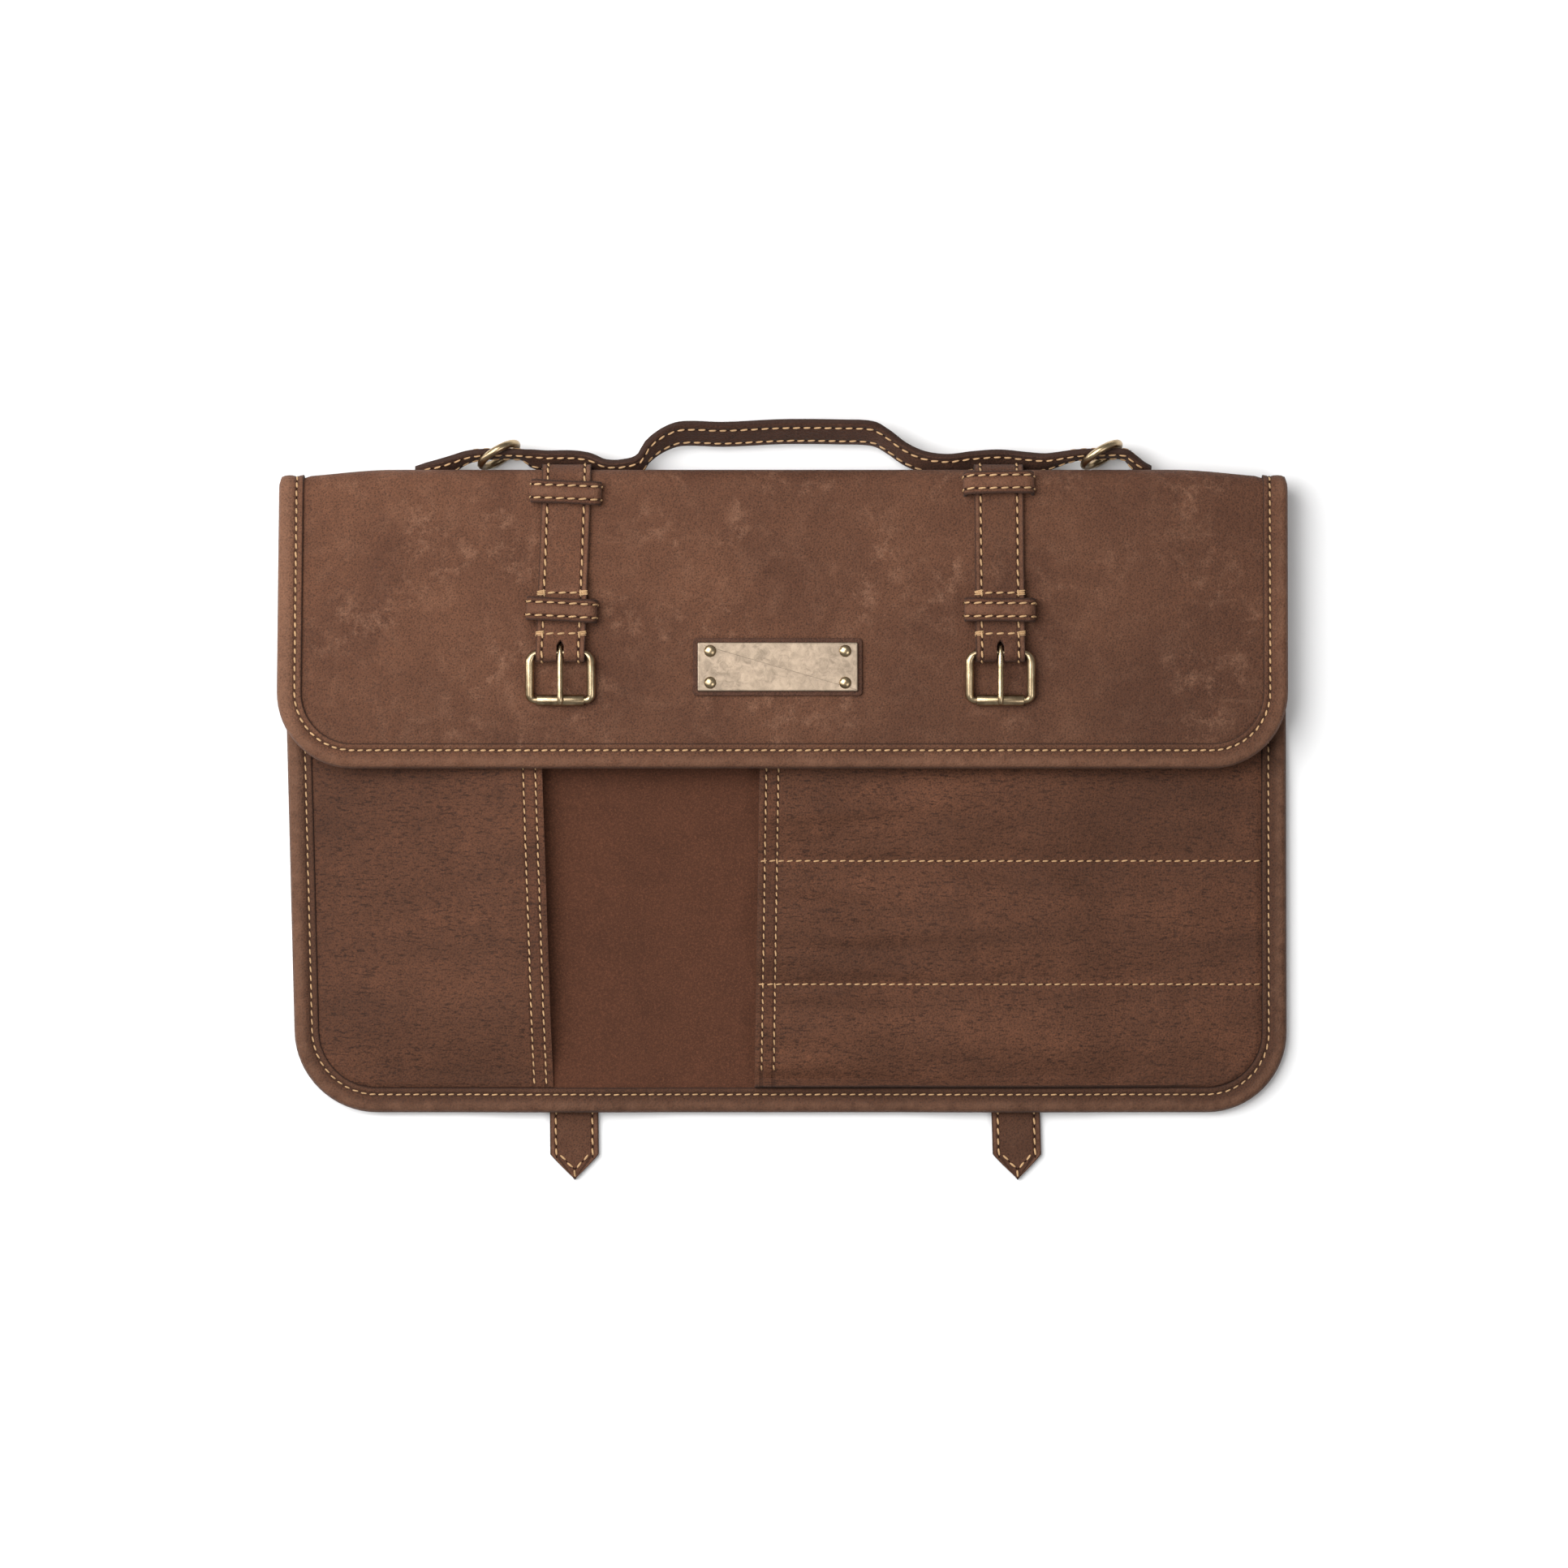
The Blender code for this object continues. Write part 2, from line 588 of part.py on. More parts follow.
def build_keeper(name, middle, station, under, material):
    """A loop across the strap, standing on the flap; its top clears the strap below by a second one."""
    rise = under + KEEPER_ROOM + KEEPER_THICK / 2 - GAP
    right = keeper_arch(rise)
    outline = right + [(-x, z) for x, z in reversed(right)]
    rows = []
    for along in (-KEEPER_LENGTH / 2, 0.0, KEEPER_LENGTH / 2):
        rows.append([Vector((x, along, z)) for x, z in outline])
    tilt = -Vector((0.0, 1.0)).angle_signed(Vector((-station["ny"], -station["nz"])))
    place = on_sheet(middle, station, -GAP)
    thing = add_object(name, grid_mesh(name, rows), material, place, (tilt, 0, 0))
    thicken(thing, KEEPER_THICK, 0.0)
    return thing


def tube(name, points, radius, closed, material, parent):
    """A round wire through points, each with its share of the radius."""
    data = bpy.data.curves.new(name, "CURVE")
    data.dimensions = "3D"
    data.bevel_depth = radius
    data.bevel_resolution = 2
    data.use_fill_caps = True
    spline = data.splines.new("POLY")
    spline.points.add(len(points) - 1)
    for point, (place, share) in zip(spline.points, points):
        point.co = (*place, 1.0)
        point.radius = share
    spline.use_cyclic_u = closed
    return add_object(name, data, material, parent=parent)


def frame_points():
    """The buckle frame's centre line from its bar, at the origin, to the roller bar."""
    half = BUCKLE_WIDTH / 2 - WIRE_RADIUS
    corners = (
        (half, 0.0, BUCKLE_TOP_CORNER, -1, -1),
        (half, -BUCKLE_LENGTH, BUCKLE_LOW_CORNER, -1, 1),
        (-half, -BUCKLE_LENGTH, BUCKLE_LOW_CORNER, 1, 1),
        (-half, 0.0, BUCKLE_TOP_CORNER, 1, -1),
    )
    points = []
    steps = 3
    for number, (x, y, radius, to_x, to_y) in enumerate(corners):
        for i in range(steps + 1):
            a = pi / 2 * i / steps
            if number % 2:
                a = pi / 2 - a
            place = (x + to_x * radius * (1 - sin(a)), y + to_y * radius * (1 - cos(a)), 0.0)
            points.append((place, 1.0))
    thin = ROLLER_BAR_RADIUS / WIRE_RADIUS
    reach = ROLLER_LENGTH / 2 + GAP
    low = [((reach, -BUCKLE_LENGTH, 0.0), thin), ((-reach, -BUCKLE_LENGTH, 0.0), thin)]
    return points[: 2 * steps + 2] + low + points[2 * steps + 2 :]


def turned(profile, steps):
    """A profile of (along X, radius) points turned about the X axis."""
    bm = bmesh.new()
    corners = [bm.verts.new((x, 0.0, r)) for x, r in profile]
    edges = [bm.edges.new((corners[i - 1], corners[i])) for i in range(len(corners))]
    bmesh.ops.spin(
        bm,
        geom=corners + edges,
        cent=(0, 0, 0),
        axis=(1, 0, 0),
        angle=2 * pi,
        steps=steps,
        use_merge=True,
    )
    bmesh.ops.remove_doubles(bm, verts=bm.verts, dist=1e-6)
    return bm


def prong_points():
    """The prong's centre line: hooked round the bar, then over the roller."""
    eye = WIRE_RADIUS + GAP + PRONG_EYE_RADIUS
    thin = PRONG_EYE_RADIUS / PRONG_RADIUS
    points = []
    for angle in range(-110, 70, 30):
        a = radians(angle)
        points.append(((0.0, eye * cos(a), eye * sin(a)), thin))
    rest = ROLLER_RADIUS + GAP + PRONG_RADIUS
    points.append(((0.0, eye * 0.35, eye * 0.98), thin))
    points.append(((0.0, -WIRE_RADIUS, eye + 0.3 * PRONG_EYE_RADIUS), 0.9))
    points.append(((0.0, -BUCKLE_LENGTH * 0.5, (eye + rest) / 2 + GAP), 1.0))
    points.append(((0.0, -BUCKLE_LENGTH, rest), 1.0))
    points.append(((0.0, -BUCKLE_LENGTH - PRONG_BEYOND, rest - PRONG_BEYOND * 0.3), 0.7))
    return points


def build_buckle(side, middle, metal, roller_metal):
    """Frame, prong and roller on an empty whose X axis is the bar in the strap's loop."""
    lowered = BAR_Z - (FLAP_Z + GAP + ROLLER_RADIUS)
    tilt = lowered / BUCKLE_LENGTH
    bar = bpy.data.objects.new(f"buckle_axis_{side}", None)
    bpy.context.collection.objects.link(bar)
    bar.location = (middle, BAR_Y, BAR_Z)
    bar.rotation_euler = (tilt, 0, 0)
    tube(f"buckle_frame_{side}", frame_points(), WIRE_RADIUS, True, metal, bar)
    tube(f"buckle_prong_{side}", prong_points(), PRONG_RADIUS, False, metal, bar)
    half = ROLLER_LENGTH / 2
    section = [(-half, ROLLER_BORE), (half, ROLLER_BORE), (half, ROLLER_RADIUS), (-half, ROLLER_RADIUS)]
    mesh = mesh_from(turned(section, 12), "roller")
    place = (0, -BUCKLE_LENGTH, 0)
    add_object(f"buckle_roller_{side}", mesh, roller_metal, place, parent=bar)


def build_plate(patch_leather, plate_metal, rivet_metal):
    patch = (PLATE_LENGTH + 2 * PATCH_MARGIN, PLATE_HEIGHT + 2 * PATCH_MARGIN, PATCH_THICK)
    plate = (PLATE_LENGTH, PLATE_HEIGHT, PLATE_THICK)
    patch_z = FLAP_Z + GAP + PATCH_THICK / 2
    plate_z = FLAP_Z + GAP + PATCH_THICK + GAP + PLATE_THICK / 2
    for name, size, z, bevel, material in (
        ("plate_patch", patch, patch_z, PATCH_ROUND, patch_leather),
        ("name_plate", plate, plate_z, PLATE_BEVEL, plate_metal),
    ):
        bm = bmesh.new()
        bmesh.ops.create_cube(bm, size=1.0, matrix=Matrix.Diagonal((*size, 1.0)))
        if name == "plate_patch":
            chosen = [e for e in bm.edges if abs(e.verts[0].co.z - e.verts[1].co.z) > size[2] / 2]
            segments = 3
        else:
            chosen = [e for e in bm.edges if min(v.co.z for v in e.verts) > 0]
            segments = 1
        bmesh.ops.bevel(bm, geom=chosen, offset=bevel, segments=segments, affect="EDGES")
        add_object(name, mesh_from(bm, name), material, (PLATE_X, PLATE_Y, z))
    top = plate_z + PLATE_THICK / 2 + GAP
    reach_x = PLATE_LENGTH / 2 - RIVET_INSET_X
    reach_y = PLATE_HEIGHT / 2 - RIVET_INSET_Y
    places = [(-1, 1), (1, 1), (-1, -1), (1, -1)]
    profile = [(0.0, 0.0), (0.0, RIVET_RADIUS)]
    for i in range(1, 4):
        a = pi / 2 * i / 3
        profile.append((RIVET_RISE * sin(a), RIVET_RADIUS * cos(a)))
    for number, (to_x, to_y) in enumerate(places, 1):
        bm = turned(profile, 12)
        bmesh.ops.rotate(bm, verts=bm.verts, matrix=Matrix.Rotation(-pi / 2, 3, "Y"))
        place = (PLATE_X + to_x * reach_x, PLATE_Y + to_y * reach_y, top)
        add_object(f"rivet_{number}", mesh_from(bm, "rivet"), rivet_metal, place)


def mixed(row, sewn, ring, grip):
    """A value of the handle strip between its sewn, ring and grip values."""
    return sewn + row["ring"] * (ring - sewn) + min(1.0, row["grip"]) * (grip - sewn)


def handle_section(row):
    """Middle point of the strip, its way up across the strip and its width."""
    x = HANDLE_LENGTH * (row["along"] - 0.5)
    lean = radians(mixed(row, HANDLE_LEAN, RING_LEAN, GRIP_LEAN))
    ring_z = RING_RADIUS + RING_WIRE + GAP
    z = mixed(row, HANDLE_Z, ring_z, GRIP_Z)
    width = mixed(row, HANDLE_WIDTH, RING_STRIP_WIDTH, GRIP_WIDTH) * row["taper"]
    support = hypot(SPINE_REACH_LOW * cos(lean), SPINE_RISE_LOW * sin(lean))
    below = SPINE_RISE_LOW * sin(lean) / support
    strap_crest = STRAP_THICK + GAP + below * (SHEET_Z - STRAP_THICK - GAP)
    stand = GAP + sag(x) * below * sin(lean) + HANDLE_THICK / 2
    stand += row["strap"] * strap_crest + row["ring"] * RING_STAND + row["grip"] * GRIP_REACH
    line = BASE_SPINE_Y * cos(lean) - EQUATOR_Z * sin(lean) + support + stand
    y = (line + z * sin(lean)) / cos(lean)
    return Vector((x, y, z)), Vector((0.0, sin(lean), cos(lean))), width


def build_handle(material):
    rows = []
    for row in HANDLE_ROWS:
        middle, up, width = handle_section(row)
        rows.append([middle - up * width / 2, middle + up * width / 2])
    thing = add_object("handle", grid_mesh("handle", rows), material)
    thicken(thing, HANDLE_THICK, 0.0)
    return thing


def build_ring(side, share, metal):
    """A wire ring round the strip, turned so that its left side passes between strip and spine."""
    row = {"along": share, "strap": 0.0, "ring": 1.0, "grip": 0.0, "taper": 1.0}
    middle, up, _ = handle_section(row)
    out = Vector((0.0, up.z, -up.y))
    yaw = radians(RING_YAW)
    across = Vector((1.0, 0.0, 0.0)) * sin(yaw) + out * cos(yaw)
    facing = across.cross(up)
    section = []
    for i in range(6):
        a = 2 * pi * i / 6
        section.append((RING_WIRE * sin(a), RING_RADIUS + RING_WIRE * cos(a)))
    thing = add_object(f"ring_{side}", mesh_from(turned(section, 16), "ring"), metal, middle)
    thing.matrix_world = Matrix.Translation(middle) @ Matrix((facing, across, up)).transposed().to_4x4()
    return thing


def main():
    clear_scene()
    nubuck = make_material("nubuck", (0.165, 0.085, 0.052), 0.85, 0.0)
    suede = make_material("suede", (0.095, 0.042, 0.026), 0.95, 0.0)
    band = make_material("binding leather", (0.130, 0.065, 0.040), 0.80, 0.0)
    dark = make_material("handle leather", (0.060, 0.032, 0.022), 0.75, 0.0)
    brass = make_material("antique brass", (0.300, 0.215, 0.110), 0.35, 1.0)
    plate = make_material("plate metal", (0.720, 0.560, 0.470), 0.40, 1.0)
    build_sheet("shell", 0.0, SHELL_THICK, nubuck)
    build_sheet("lining", LINING_OUTER, LINING_THICK, suede)
    build_binding(band)
    build_left_pocket(nubuck)
    build_right_pocket(nubuck)
    build_strap("strap_left", STRAP_LEFT_X, STRAP_LEFT_DRIFT, nubuck)
    build_strap("strap_right", STRAP_RIGHT_X, STRAP_RIGHT_DRIFT, nubuck)
    over_strap = GAP + STRAP_THICK
    over_layers = LAYER_HIGH + STRAP_THICK / 2 - FLAP_Z
    build_keeper("keeper_left_upper", STRAP_LEFT_X, flap(LEFT_KEEPER_Y), over_strap, nubuck)
    build_keeper("keeper_right_upper", STRAP_RIGHT_X, spine(RIGHT_KEEPER_ANGLE), over_strap, nubuck)
    build_keeper("keeper_left_lower", STRAP_LEFT_X, flap(LOWER_KEEPER_Y), over_layers, nubuck)
    build_keeper("keeper_right_lower", STRAP_RIGHT_X, flap(LOWER_KEEPER_Y), over_layers, nubuck)
    build_buckle("left", STRAP_LEFT_X, brass, brass)
    build_buckle("right", STRAP_RIGHT_X, brass, brass)
    build_plate(dark, plate, brass)
    build_handle(dark)
    build_ring("left", RING_LEFT_SHARE, brass)
    build_ring("right", RING_RIGHT_SHARE, brass)


main()
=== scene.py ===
"""Looks of the leather knife roll: leather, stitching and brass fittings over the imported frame."""

from math import atan2, cos, exp, hypot, pi, radians, sin, sqrt

import bmesh
import bpy
from bpy.props import FloatProperty, FloatVectorProperty, IntProperty, PointerProperty
from mathutils import Matrix, Vector, noise


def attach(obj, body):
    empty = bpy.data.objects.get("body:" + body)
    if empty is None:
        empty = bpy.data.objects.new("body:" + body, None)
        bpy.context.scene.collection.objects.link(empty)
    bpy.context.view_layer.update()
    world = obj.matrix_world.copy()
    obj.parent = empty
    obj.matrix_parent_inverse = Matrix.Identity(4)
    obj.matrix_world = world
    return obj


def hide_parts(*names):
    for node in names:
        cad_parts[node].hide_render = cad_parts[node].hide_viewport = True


bl_info = {
    "name": "Leather Knife Roll",
    "version": (1, 0, 0),
    "blender": (4, 5, 0),
    "location": "View3D > Sidebar > Knife Roll",
    "description": "Builds an open leather knife roll with straps, buckles, pockets and a carrying handle",
    "category": "Add Mesh",
}

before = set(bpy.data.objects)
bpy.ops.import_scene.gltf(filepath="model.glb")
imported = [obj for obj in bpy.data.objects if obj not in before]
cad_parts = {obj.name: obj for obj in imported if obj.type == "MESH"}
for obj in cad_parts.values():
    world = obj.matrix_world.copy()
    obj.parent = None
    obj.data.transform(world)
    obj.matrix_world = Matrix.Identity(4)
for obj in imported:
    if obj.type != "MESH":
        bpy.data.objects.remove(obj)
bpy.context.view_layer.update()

# Sheet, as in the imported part
GAP = 0.0003
SHELL_THICK = 0.0018
LINING_THICK = 0.0010
BINDING_THICK = 0.0010
BINDING_WIDTH = 0.0103
ROLL_WIDTH = 0.4166
BASE_BOTTOM_Y = -0.1287
FLAP_BOTTOM_Y = 0.0130
SPINE_Y = 0.1358
BASE_CORNER = 0.0333
FLAP_CORNER = 0.0317
SPINE_RISE_LOW = 0.0100
SPINE_RISE_HIGH = 0.0075
SPINE_REACH_LOW = 0.0150
SPINE_REACH_HIGH = 0.0090
FLAP_DROOP = 0.0030
DROOP_START = 0.1550

# Straps
STRAP_WIDTH = 0.0200
STRAP_THICK = 0.0019
STRAP_X = {"left": -0.0913, "right": 0.0889}
STRAP_DRIFT = {"left": 0.0053, "right": 0.0078}
STRAP_LEAN = {"left": 0.0024, "right": -0.0006}
STRAP_BEYOND_BASE = 0.0273
STRAP_POINT = 0.0100
STRAP_LOOP_END_Y = 0.0567
STRAP_TURN_IN = 0.0270
STRAP_RAMP = 0.0080
STRAP_SLOT_REACH = 0.0060
SLOT_SHOWN = 0.0050
SLOT_HALF = 0.0015
STRAP_COLUMNS = (-0.5, -0.47, -0.36, -0.24, -0.14, 0.0, 0.14, 0.24, 0.36, 0.47, 0.5)
SAG_FLAT = 0.0200
SAG_RUN = 0.0270

# Keepers
KEEPER_LENGTH = 0.0096
KEEPER_THICK = 0.0013
KEEPER_SIDE = 0.0045
KEEPER_ROOM = 0.0026
KEEPER_CORNER = 0.0030
LOWER_KEEPER_Y = 0.0780
LEFT_KEEPER_Y = 0.1262
RIGHT_KEEPER_ANGLE = 75.0
KEEPER_TURN = {"left_upper": -2.5, "right_upper": 1.0, "left_lower": -3.0, "right_lower": -0.5}
KEEPER_ROLL_OVER = 0.0007
KEEPER_CUFF = 0.004
KEEPERS = tuple(KEEPER_TURN)

# Buckles
WIRE_RADIUS = 0.0014
SHOWN_WIRE = 0.0015
SIDE_STOUTNESS = 0.24
BUCKLE_WIDTH = 0.0280
BUCKLE_LENGTH = 0.0194
BUCKLE_TOP_CORNER = 0.0040
BUCKLE_LOW_CORNER = 0.0023
ROLLER_RADIUS = 0.0021
SHOWN_ROLLER = 0.00235
ROLLER_BORE = 0.0016
ROLLER_LENGTH = 0.0192
PRONG_RADIUS = 0.00125
PRONG_EYE_RADIUS = 0.0009
PRONG_BEYOND = 0.0014
LOOP_ROOM = 0.00035

# Pockets
POCKET_THICK = 0.0014
POCKET_TOP_Y = 0.1120
SEAM_FLAT = 0.0030
LEFT_MOUTH_X = -0.0985
LEFT_MOUTH_SLANT = 0.0078
RIGHT_MOUTH_X = -0.0100
RIGHT_MOUTH_SLANT = -0.0036
SLEEVE_SEAM_Y = -0.0250
SLEEVE_PITCH = 0.0508
SLEEVE_SHARE = 0.84
SLEEVE_SEAMS = [SLEEVE_SEAM_Y + SLEEVE_PITCH * n for n in (-1, 0, 1, 2)]

# Name plate
PLATE_LENGTH = 0.0657
PLATE_HEIGHT = 0.0200
PLATE_THICK = 0.0011
PATCH_MARGIN = 0.0018
PATCH_THICK = 0.0012
PLATE_X = -0.0023
PLATE_Y = 0.0547
RIVET_RADIUS = 0.0025
RIVET_RISE = 0.0012
RIVET_INSET_X = 0.0052
RIVET_INSET_Y = 0.0035

# Handle and rings
HANDLE_LENGTH = 0.3030
HANDLE_THICK = 0.0025
HANDLE_WIDTH = 0.0120
GRIP_WIDTH = 0.0160
RING_STRIP_WIDTH = 0.0100
GRIP_REACH = 0.0127
HANDLE_Z = 0.0075
GRIP_Z = 0.0110
HANDLE_LEAN = 38.0
GRIP_LEAN = 24.0
GRIP_EXTRA_LEAN = 8.0
RING_LEAN = 14.5
RING_WIRE = 0.0016
RING_ROOM = 0.0016
RING_YAW = 60.0
RING_SHARE = {"left": 0.114, "right": 0.932}

EDGE_SHARES = {
    "base": {"left": -0.4818, "right": 0.4984},
    "spine": {"left": -0.4970, "right": 0.4970},
    "flap": {"left": -0.5000, "right": 0.4976},
}

# Where the handle strip stands off the roll: along, over a strap, through a ring, at the grip, width
HANDLE_KNOTS = (
    (0.000, 0.0, 0.0, 0.0, 0.30),
    (0.016, 0.0, 0.0, 0.0, 0.72),
    (0.034, 0.0, 0.08, 0.0, 1.00),
    (0.052, 0.0, 0.40, 0.0, 1.00),
    (0.068, 0.0, 0.76, 0.0, 1.00),
    (0.084, 0.0, 0.97, 0.0, 1.00),
    (0.114, 0.0, 1.05, 0.0, 1.00),
    (0.146, 0.0, 1.0, 0.0, 1.00),
    (0.158, 1.0, 0.3, 0.0, 1.00),
    (0.180, 1.3, 0.0, 0.0, 1.00),
    (0.214, 1.3, 0.0, 0.0, 1.00),
    (0.238, 1.0, 0.0, 0.0, 1.00),
    (0.258, 0.3, 0.0, 0.0, 1.00),
    (0.282, 0.0, 0.0, 0.05, 1.00),
    (0.304, 0.0, 0.0, 0.16, 1.00),
    (0.316, 0.0, 0.0, 0.48, 1.00),
    (0.338, 0.0, 0.0, 0.80, 1.00),
    (0.362, 0.0, 0.0, 0.97, 1.00),
    (0.420, 0.0, 0.0, 0.95, 1.00),
    (0.500, 0.0, 0.0, 1.03, 1.00),
    (0.580, 0.0, 0.0, 1.02, 1.00),
    (0.622, 0.0, 0.0, 0.97, 1.00),
    (0.642, 0.0, 0.0, 0.74, 1.00),
    (0.664, 0.0, 0.0, 0.42, 1.00),
    (0.690, 0.2, 0.0, 0.18, 1.00),
    (0.722, 0.6, 0.0, 0.05, 1.00),
    (0.756, 1.2, 0.0, 0.0, 1.00),
    (0.793, 1.4, 0.0, 0.0, 1.00),
    (0.832, 1.1, 0.0, 0.0, 1.00),
    (0.856, 0.5, 0.30, 0.0, 1.00),
    (0.872, 0.2, 0.60, 0.0, 1.00),
    (0.888, 0.0, 0.88, 0.0, 1.00),
    (0.903, 0.0, 1.0, 0.0, 1.00),
    (0.932, 0.0, 1.05, 0.0, 1.00),
    (0.964, 0.0, 1.0, 0.0, 1.00),
    (0.976, 0.0, 0.5, 0.0, 0.90),
    (0.988, 0.0, 0.1, 0.0, 0.70),
    (1.000, 0.0, 0.0, 0.0, 0.35),
)

# Heights that follow from the stack of layers
SHEET_Z = STRAP_THICK + GAP + BINDING_THICK + GAP
EQUATOR_Z = SHEET_Z + SPINE_RISE_LOW
FLAP_Z = EQUATOR_Z + SPINE_RISE_HIGH
LINING_OUTER = SHELL_THICK + GAP
SHEET_STACK = LINING_OUTER + LINING_THICK
POCKET_FLOOR = SHEET_STACK + GAP
EDGE_INSET = BINDING_THICK + GAP
FLAP_UNDER_Z = FLAP_Z - SHEET_STACK - GAP - BINDING_THICK
POCKET_CROWN = FLAP_UNDER_Z - GAP - POCKET_THICK - SHEET_Z - POCKET_FLOOR
BASE_SPINE_Y = SPINE_Y - SPINE_REACH_LOW
FLAP_SPINE_Y = SPINE_Y - SPINE_REACH_HIGH
LOOP_RADIUS = WIRE_RADIUS + LOOP_ROOM + STRAP_THICK / 2
BAR_Y = STRAP_LOOP_END_Y + LOOP_RADIUS + STRAP_THICK / 2
LAYER_LOW = FLAP_Z + GAP + STRAP_THICK / 2
LAYER_HIGH = LAYER_LOW + STRAP_THICK + GAP
BAR_Z = LAYER_LOW + LOOP_RADIUS
BUCKLE_TILT = (BAR_Z - (FLAP_Z + GAP + ROLLER_RADIUS)) / BUCKLE_LENGTH
RING_RADIUS = hypot(RING_STRIP_WIDTH, HANDLE_THICK) / 2 + RING_ROOM + RING_WIRE
RING_STAND = RING_RADIUS * cos(radians(RING_YAW)) + RING_WIRE + 2 * GAP - HANDLE_THICK / 2
STRAP_MIDDLES = [STRAP_X[side] + STRAP_DRIFT[side] / 2 for side in ("left", "right")]
POCKET_LOW = BASE_BOTTOM_Y + BINDING_WIDTH + GAP
POCKET_CORNER = BASE_CORNER - BINDING_WIDTH - GAP

# How far the ends of the fold are drawn in towards the flap
END_PULL = 0.0032
END_ROUND = 0.0034

# Stitch lines
BAND_STITCH = 0.0075
BAND_JOINT_X = -0.0802
BAND_STEP = 0.004
STRAP_STITCH = 0.0025
HANDLE_STITCH = 0.0034
KEEPER_STITCH = 0.0021
MOUTH_STITCHES = (0.0028, 0.0078)
TACK_ROWS = (0.0850, 0.0683)
KEEPER_PITCH = 0.0045
TACK_LENGTH = 0.0054

SIDES = ("left", "right")

# Finished materials by name
FINISHES = {}


def length(name, description, default, least=0.0):
    return FloatProperty(name=name, description=description, default=default, min=least, unit="LENGTH")


def colour(name, description, default):
    return FloatVectorProperty(name=name, description=description, default=default, subtype="COLOR")


class LeatherSizes(bpy.types.PropertyGroup):
    """Grain and relief of the leather."""

    nap: length("Nap", "Size of the fine nap grain", 0.00062, 0.0002)
    blotch: length("Blotches", "Size of the lighter and darker areas", 0.035, 0.005)
    relief: length("Relief", "Height of the nap and creases", 0.0004)
    pucker: length("Puckers", "Height of the wrinkles beside the seams", 0.0011)
    mesh_step: length("Mesh step", "Spacing of the sheet's mesh", 0.0040, 0.001)


class StitchSizes(bpy.types.PropertyGroup):
    """Thread and spacing of the seams."""

    pitch: length("Edge stitch", "Spacing on the binding and pockets", 0.0036, 0.001)
    strap_pitch: length("Strap stitch", "Spacing on the straps and handle", 0.0043, 0.001)
    share: FloatProperty(
        name="Thread share",
        description="Length of thread seen in one stitch",
        default=0.72,
        min=0.2,
        max=1.0,
        subtype="FACTOR",
    )
    width: length("Thread width", "Width of the sewing thread", 0.00090, 0.0001)
    slant: FloatProperty(
        name="Slant", description="Turn of each stitch off its seam", default=radians(7.0), subtype="ANGLE"
    )


class MetalSizes(bpy.types.PropertyGroup):
    """Fineness of the brass fittings."""

    wire_sides: IntProperty(
        name="Wire sides", description="Faces round a brass wire", default=16, min=6, max=48
    )
    ring_steps: IntProperty(
        name="Ring steps", description="Faces along a ring", default=72, min=16, max=128
    )


class RollColours(bpy.types.PropertyGroup):
    """Base colours of the leather, thread and metal."""

    nubuck: colour("Nubuck", "Middle brown of the outside", (0.112, 0.046, 0.024))
    nubuck_dark: colour("Nubuck dark", "Darker areas", (0.066, 0.025, 0.013))
    # Also the painted highlight on the binding's far left edge
    nubuck_light: colour("Nubuck light", "Rubbed areas", (0.225, 0.112, 0.067))
    inside: colour("Pocket nubuck", "Brown of the pockets", (0.088, 0.034, 0.017))
    suede: colour("Suede", "Reddish brown of the lining", (0.090, 0.033, 0.017))
    binding: colour("Binding", "Brown of the edge band", (0.112, 0.046, 0.024))
    dark_leather: colour("Dark leather", "Handle and plate patch", (0.068, 0.029, 0.017))
    cut_edge: colour("Cut edge", "Burnished cut edges", (0.030, 0.013, 0.008))
    thread: colour("Thread", "Waxed thread", (0.640, 0.390, 0.190))
    brass: colour("Brass", "Rubbed antique brass", (0.520, 0.395, 0.240))
    brass_dark: colour("Brass dark", "Tarnish in the hollows", (0.240, 0.168, 0.096))
    plate: colour("Plate", "Brushed plate metal", (0.370, 0.290, 0.215))
    floor: colour("Floor", "Studio floor", (0.90, 0.90, 0.90))


def smooth(value):
    value = min(1.0, max(0.0, value))
    return value * value * (3.0 - 2.0 * value)


def steps(start, end, spacing):
    """Evenly spaced values from start to end, both included."""
    count = max(1, round(abs(end - start) / spacing))
    return [start + (end - start) * i / count for i in range(count + 1)]


# The sheet's shape


def sag(x):
    away = min(abs(x - middle) for middle in STRAP_MIDDLES)
    return STRAP_THICK * smooth((away - SAG_FLAT) / SAG_RUN)


def droop(x):
    share = max(0.0, (abs(x) - DROOP_START) / (ROLL_WIDTH / 2 - DROOP_START))
    return FLAP_DROOP * share * share * (2.0 - share)


def base(y):
    return {"y": y, "z": SHEET_Z, "ny": 0.0, "nz": 1.0, "low": 1.0, "high": 0.0}


def flap(y):
    return {"y": y, "z": FLAP_Z, "ny": 0.0, "nz": -1.0, "low": 0.0, "high": 1.0}


def spine(degrees):
    """A station round the fold, from -90 at the base to 90 at the flap."""
    a = radians(degrees)
    lower = degrees < 0
    reach = SPINE_REACH_LOW if lower else SPINE_REACH_HIGH
    rise = SPINE_RISE_LOW if lower else SPINE_RISE_HIGH
    normal = Vector((-cos(a) / reach, -sin(a) / rise)).normalized()
    return {
        "y": SPINE_Y - reach + reach * cos(a),
        "z": EQUATOR_Z + rise * sin(a),
        "ny": normal.x,
        "nz": normal.y,
        "low": max(0.0, -sin(a)),
        "high": max(0.0, sin(a)),
    }


